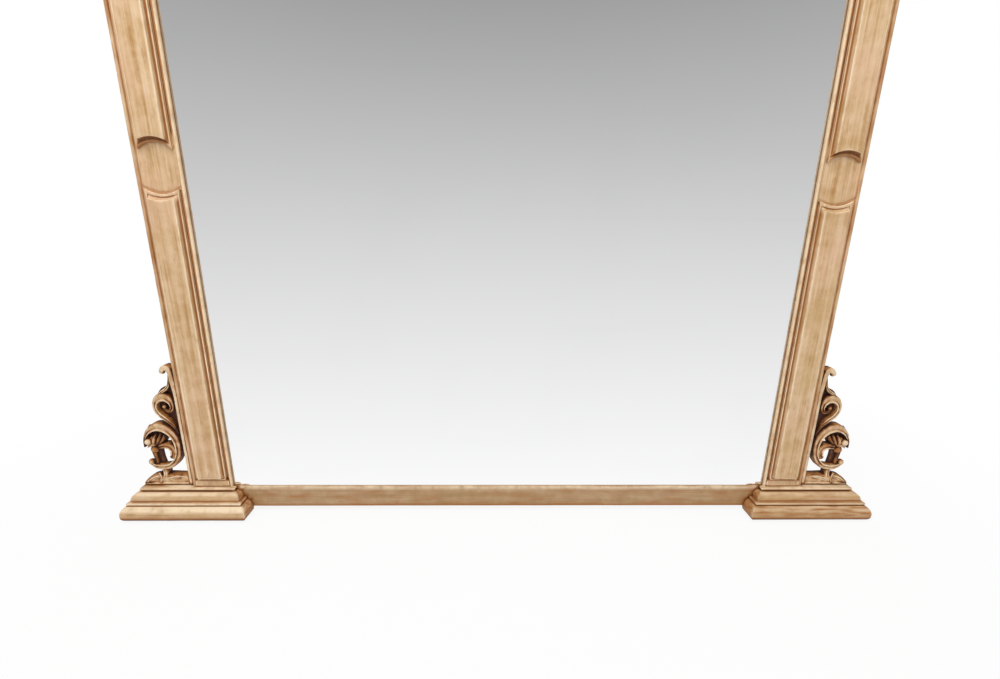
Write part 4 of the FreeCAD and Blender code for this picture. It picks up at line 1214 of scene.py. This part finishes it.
# hollow is the share of short rays that meet other surfaces, laid on as glaze and painted shade; ridge is the
# sharpness of convex bends, laid on as rubbed wear and painted highlight.
def glaze_shade_rub_highlight(piece, stain_and_shading, wall, rays):
    mesh = piece.data
    shut = np.zeros(len(mesh.vertices))
    for index, vertex in enumerate(mesh.vertices):
        if vertex.normal.y > TURNED_AWAY:
            continue
        aim = vertex.normal.to_track_quat("Z", "Y").to_matrix()
        start = vertex.co + vertex.normal * CLEAR_OF_SURFACE
        for ray in rays:
            distance = wall.ray_cast(start, aim @ ray, GLAZE_SHADE_REACH)[3]
            if distance is not None:
                shut[index] += (1 - distance / GLAZE_SHADE_REACH) / RAY_COUNT
    spots = np.array([vertex.co for vertex in mesh.vertices])
    facing = np.array([vertex.normal for vertex in mesh.vertices])
    ends = np.array([edge.vertices for edge in mesh.edges])
    bend = np.zeros(len(spots))
    for here, there in ((ends[:, 0], ends[:, 1]), (ends[:, 1], ends[:, 0])):
        step = spots[here] - spots[there]
        curve = 2 * (facing[here] * step).sum(1) / np.maximum((step * step).sum(1), 1e-12)
        np.maximum.at(bend, here, curve)
    hollow = soft_step(shut, OPEN_CORNER, SHUT_CORNER)
    ridge = soft_step(bend, SOFT_EDGE, HARD_EDGE)
    if stain_and_shading is not None:
        hollow, ridge = stain_and_shading(spots / MM, hollow, ridge)
    for name, values in (("hollow", hollow), ("ridge", ridge)):
        mesh.attributes.new(name, "FLOAT", "POINT").data.foreach_set("value", values.astype(np.float32))


wall = wall_of([piece for piece, stain_and_shading in limed_pieces] + [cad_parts["mirror_plate"]])
rays = dome_of_rays()
for piece, stain_and_shading in limed_pieces:
    glaze_shade_rub_highlight(piece, stain_and_shading, wall, rays)

# Stage: a plain white floor, soft light from above and in front, and the camera at the photograph's
# standpoint. The mirror is shown a painted reflection: floor and room glow, for reflected rays only, and grow
# greyer with distance.
WHITE = (1, 1, 1, 1)
FLOOR_RADIUS = 60
FLOOR_DROP = 0.0004
SHADOW_SHARE = 0.11
SHADOW_FADE = (0.6, 1.5)
FLOOR_WHITE = 0.9
ROOM_LIGHT = 0.5
HORIZON_GREY = 0.645
NEAR_FLOOR_GAIN = 0.36
FLOOR_FADE = 0.85
HIGH_GREY = 0.366
HIGH_SLOPE = 0.357


def by_ray(wires, output, lit, paper, painted_reflection, paper_share):
    """Lights the part with lit, shows the camera a share of paper and shows the mirror a painted reflection.
    """
    path = wires.node("LightPath").outputs
    seen = wires.math("MAXIMUM", path["Is Camera Ray"], path["Is Transmission Ray"])
    plain = wires.node("MixShader", {0: wires.times(seen, paper_share), 1: lit, 2: paper}).outputs[0]
    whole = wires.node("MixShader", {0: path["Is Glossy Ray"], 1: plain, 2: painted_reflection}).outputs[0]
    wires.node(output, {"Surface": whole})


def glow(wires, kind, strength):
    return wires.node(kind, {"Color": WHITE, "Strength": strength}).outputs[0]


floor_mesh = bpy.data.meshes.new("floor")
work = bmesh.new()
floor_place = Matrix.Translation((0, 0, -FLOOR_DROP))
bmesh.ops.create_circle(work, cap_ends=True, segments=96, radius=FLOOR_RADIUS, matrix=floor_place)
work.to_mesh(floor_mesh)
work.free()
floor = bpy.data.objects.new("floor", floor_mesh)
bpy.context.scene.collection.objects.link(floor)
floor_finish = bpy.data.materials.new("white_floor")
floor_finish.use_nodes = True
wires = Wiring(floor_finish.node_tree)
floor_finish.node_tree.nodes.clear()
spot = wires.node("NewGeometry").outputs["Position"]
away = wires.node("SeparateXYZ", {0: spot}).outputs["Y"]
far = wires.between(wires.node("VectorMath", {0: spot}, operation="LENGTH").outputs["Value"], *SHADOW_FADE)
# For reflected rays the floor glows as a painted reflection, greyer with distance in front.
fade = wires.plus(1.0, wires.times(wires.math("ABSOLUTE", away), FLOOR_FADE))
painted_floor_reflection = wires.plus(HORIZON_GREY, wires.math("DIVIDE", NEAR_FLOOR_GAIN, fade))
lit = wires.node("BsdfDiffuse", {"Color": (FLOOR_WHITE, FLOOR_WHITE, FLOOR_WHITE, 1)}).outputs[0]
paper, painted_reflection = glow(wires, "Emission", 1.0), glow(wires, "Emission", painted_floor_reflection)
white_share = wires.plus(1 - SHADOW_SHARE, wires.times(far, SHADOW_SHARE))
by_ray(wires, "OutputMaterial", lit, paper, painted_reflection, white_share)
floor_mesh.materials.append(floor_finish)

world = bpy.data.worlds.new("white_room")
bpy.context.scene.world = world
world.use_nodes = True
world.node_tree.nodes.clear()
wires = Wiring(world.node_tree)
# For reflected rays the world glows as a painted reflection, greyer higher up.
slope = wires.node("SeparateXYZ", {0: wires.node("TexCoord").outputs["Generated"]}).outputs["Z"]
feeds = {"Value": slope, "From Max": HIGH_SLOPE, "To Min": HORIZON_GREY, "To Max": HIGH_GREY}
painted_room_reflection = wires.node("MapRange", feeds).outputs["Result"]
room, paper, painted_reflection = (glow(wires, "Background", strength) for strength in (ROOM_LIGHT, 1.0, painted_room_reflection))
by_ray(wires, "OutputWorld", room, paper, painted_reflection, 1.0)


def soft_lamp(name, place, target, width, height, watts):
    light = bpy.data.lights.new(name, "AREA")
    light.shape = "RECTANGLE"
    light.size, light.size_y, light.energy = width, height, watts
    lamp = bpy.data.objects.new(name, light)
    lamp.location = place
    lamp.rotation_euler = (Vector(target) - Vector(place)).to_track_quat("-Z", "Y").to_euler()
    lamp.visible_glossy = False
    bpy.context.scene.collection.objects.link(lamp)


soft_lamp("overhead_softbox", (-0.3, -1.1, 2.4), (0, 0, 0.4), 2.0, 1.0, 36)
soft_lamp("front_softbox", (0.8, -3.4, 2.6), (0, 0, 0.6), 2.0, 1.6, 12)

CAMERA_PLACE = (-0.019489, -0.836819, 0.597641)
CAMERA_PITCH = math.radians(15.279)
CAMERA_YAW = math.radians(1.051)
CAMERA_ROLL = math.radians(0.569)
CAMERA_LENS = 16.664
SENSOR_WIDTH = 36
NEAR_LIMIT = 0.01
camera_data = bpy.data.cameras.new("photograph")
camera_data.sensor_width = SENSOR_WIDTH
camera_data.sensor_fit = "HORIZONTAL"
camera_data.lens = CAMERA_LENS
camera_data.clip_start = NEAR_LIMIT
camera = bpy.data.objects.new("photograph", camera_data)
bpy.context.scene.collection.objects.link(camera)
turn = Matrix.Rotation(-CAMERA_YAW, 4, "Z") @ Matrix.Rotation(math.pi / 2 - CAMERA_PITCH, 4, "X")
camera.matrix_world = Matrix.Translation(CAMERA_PLACE) @ turn @ Matrix.Rotation(CAMERA_ROLL, 4, "Z")
bpy.context.scene.camera = camera
bpy.context.scene.view_settings.view_transform = "Standard"
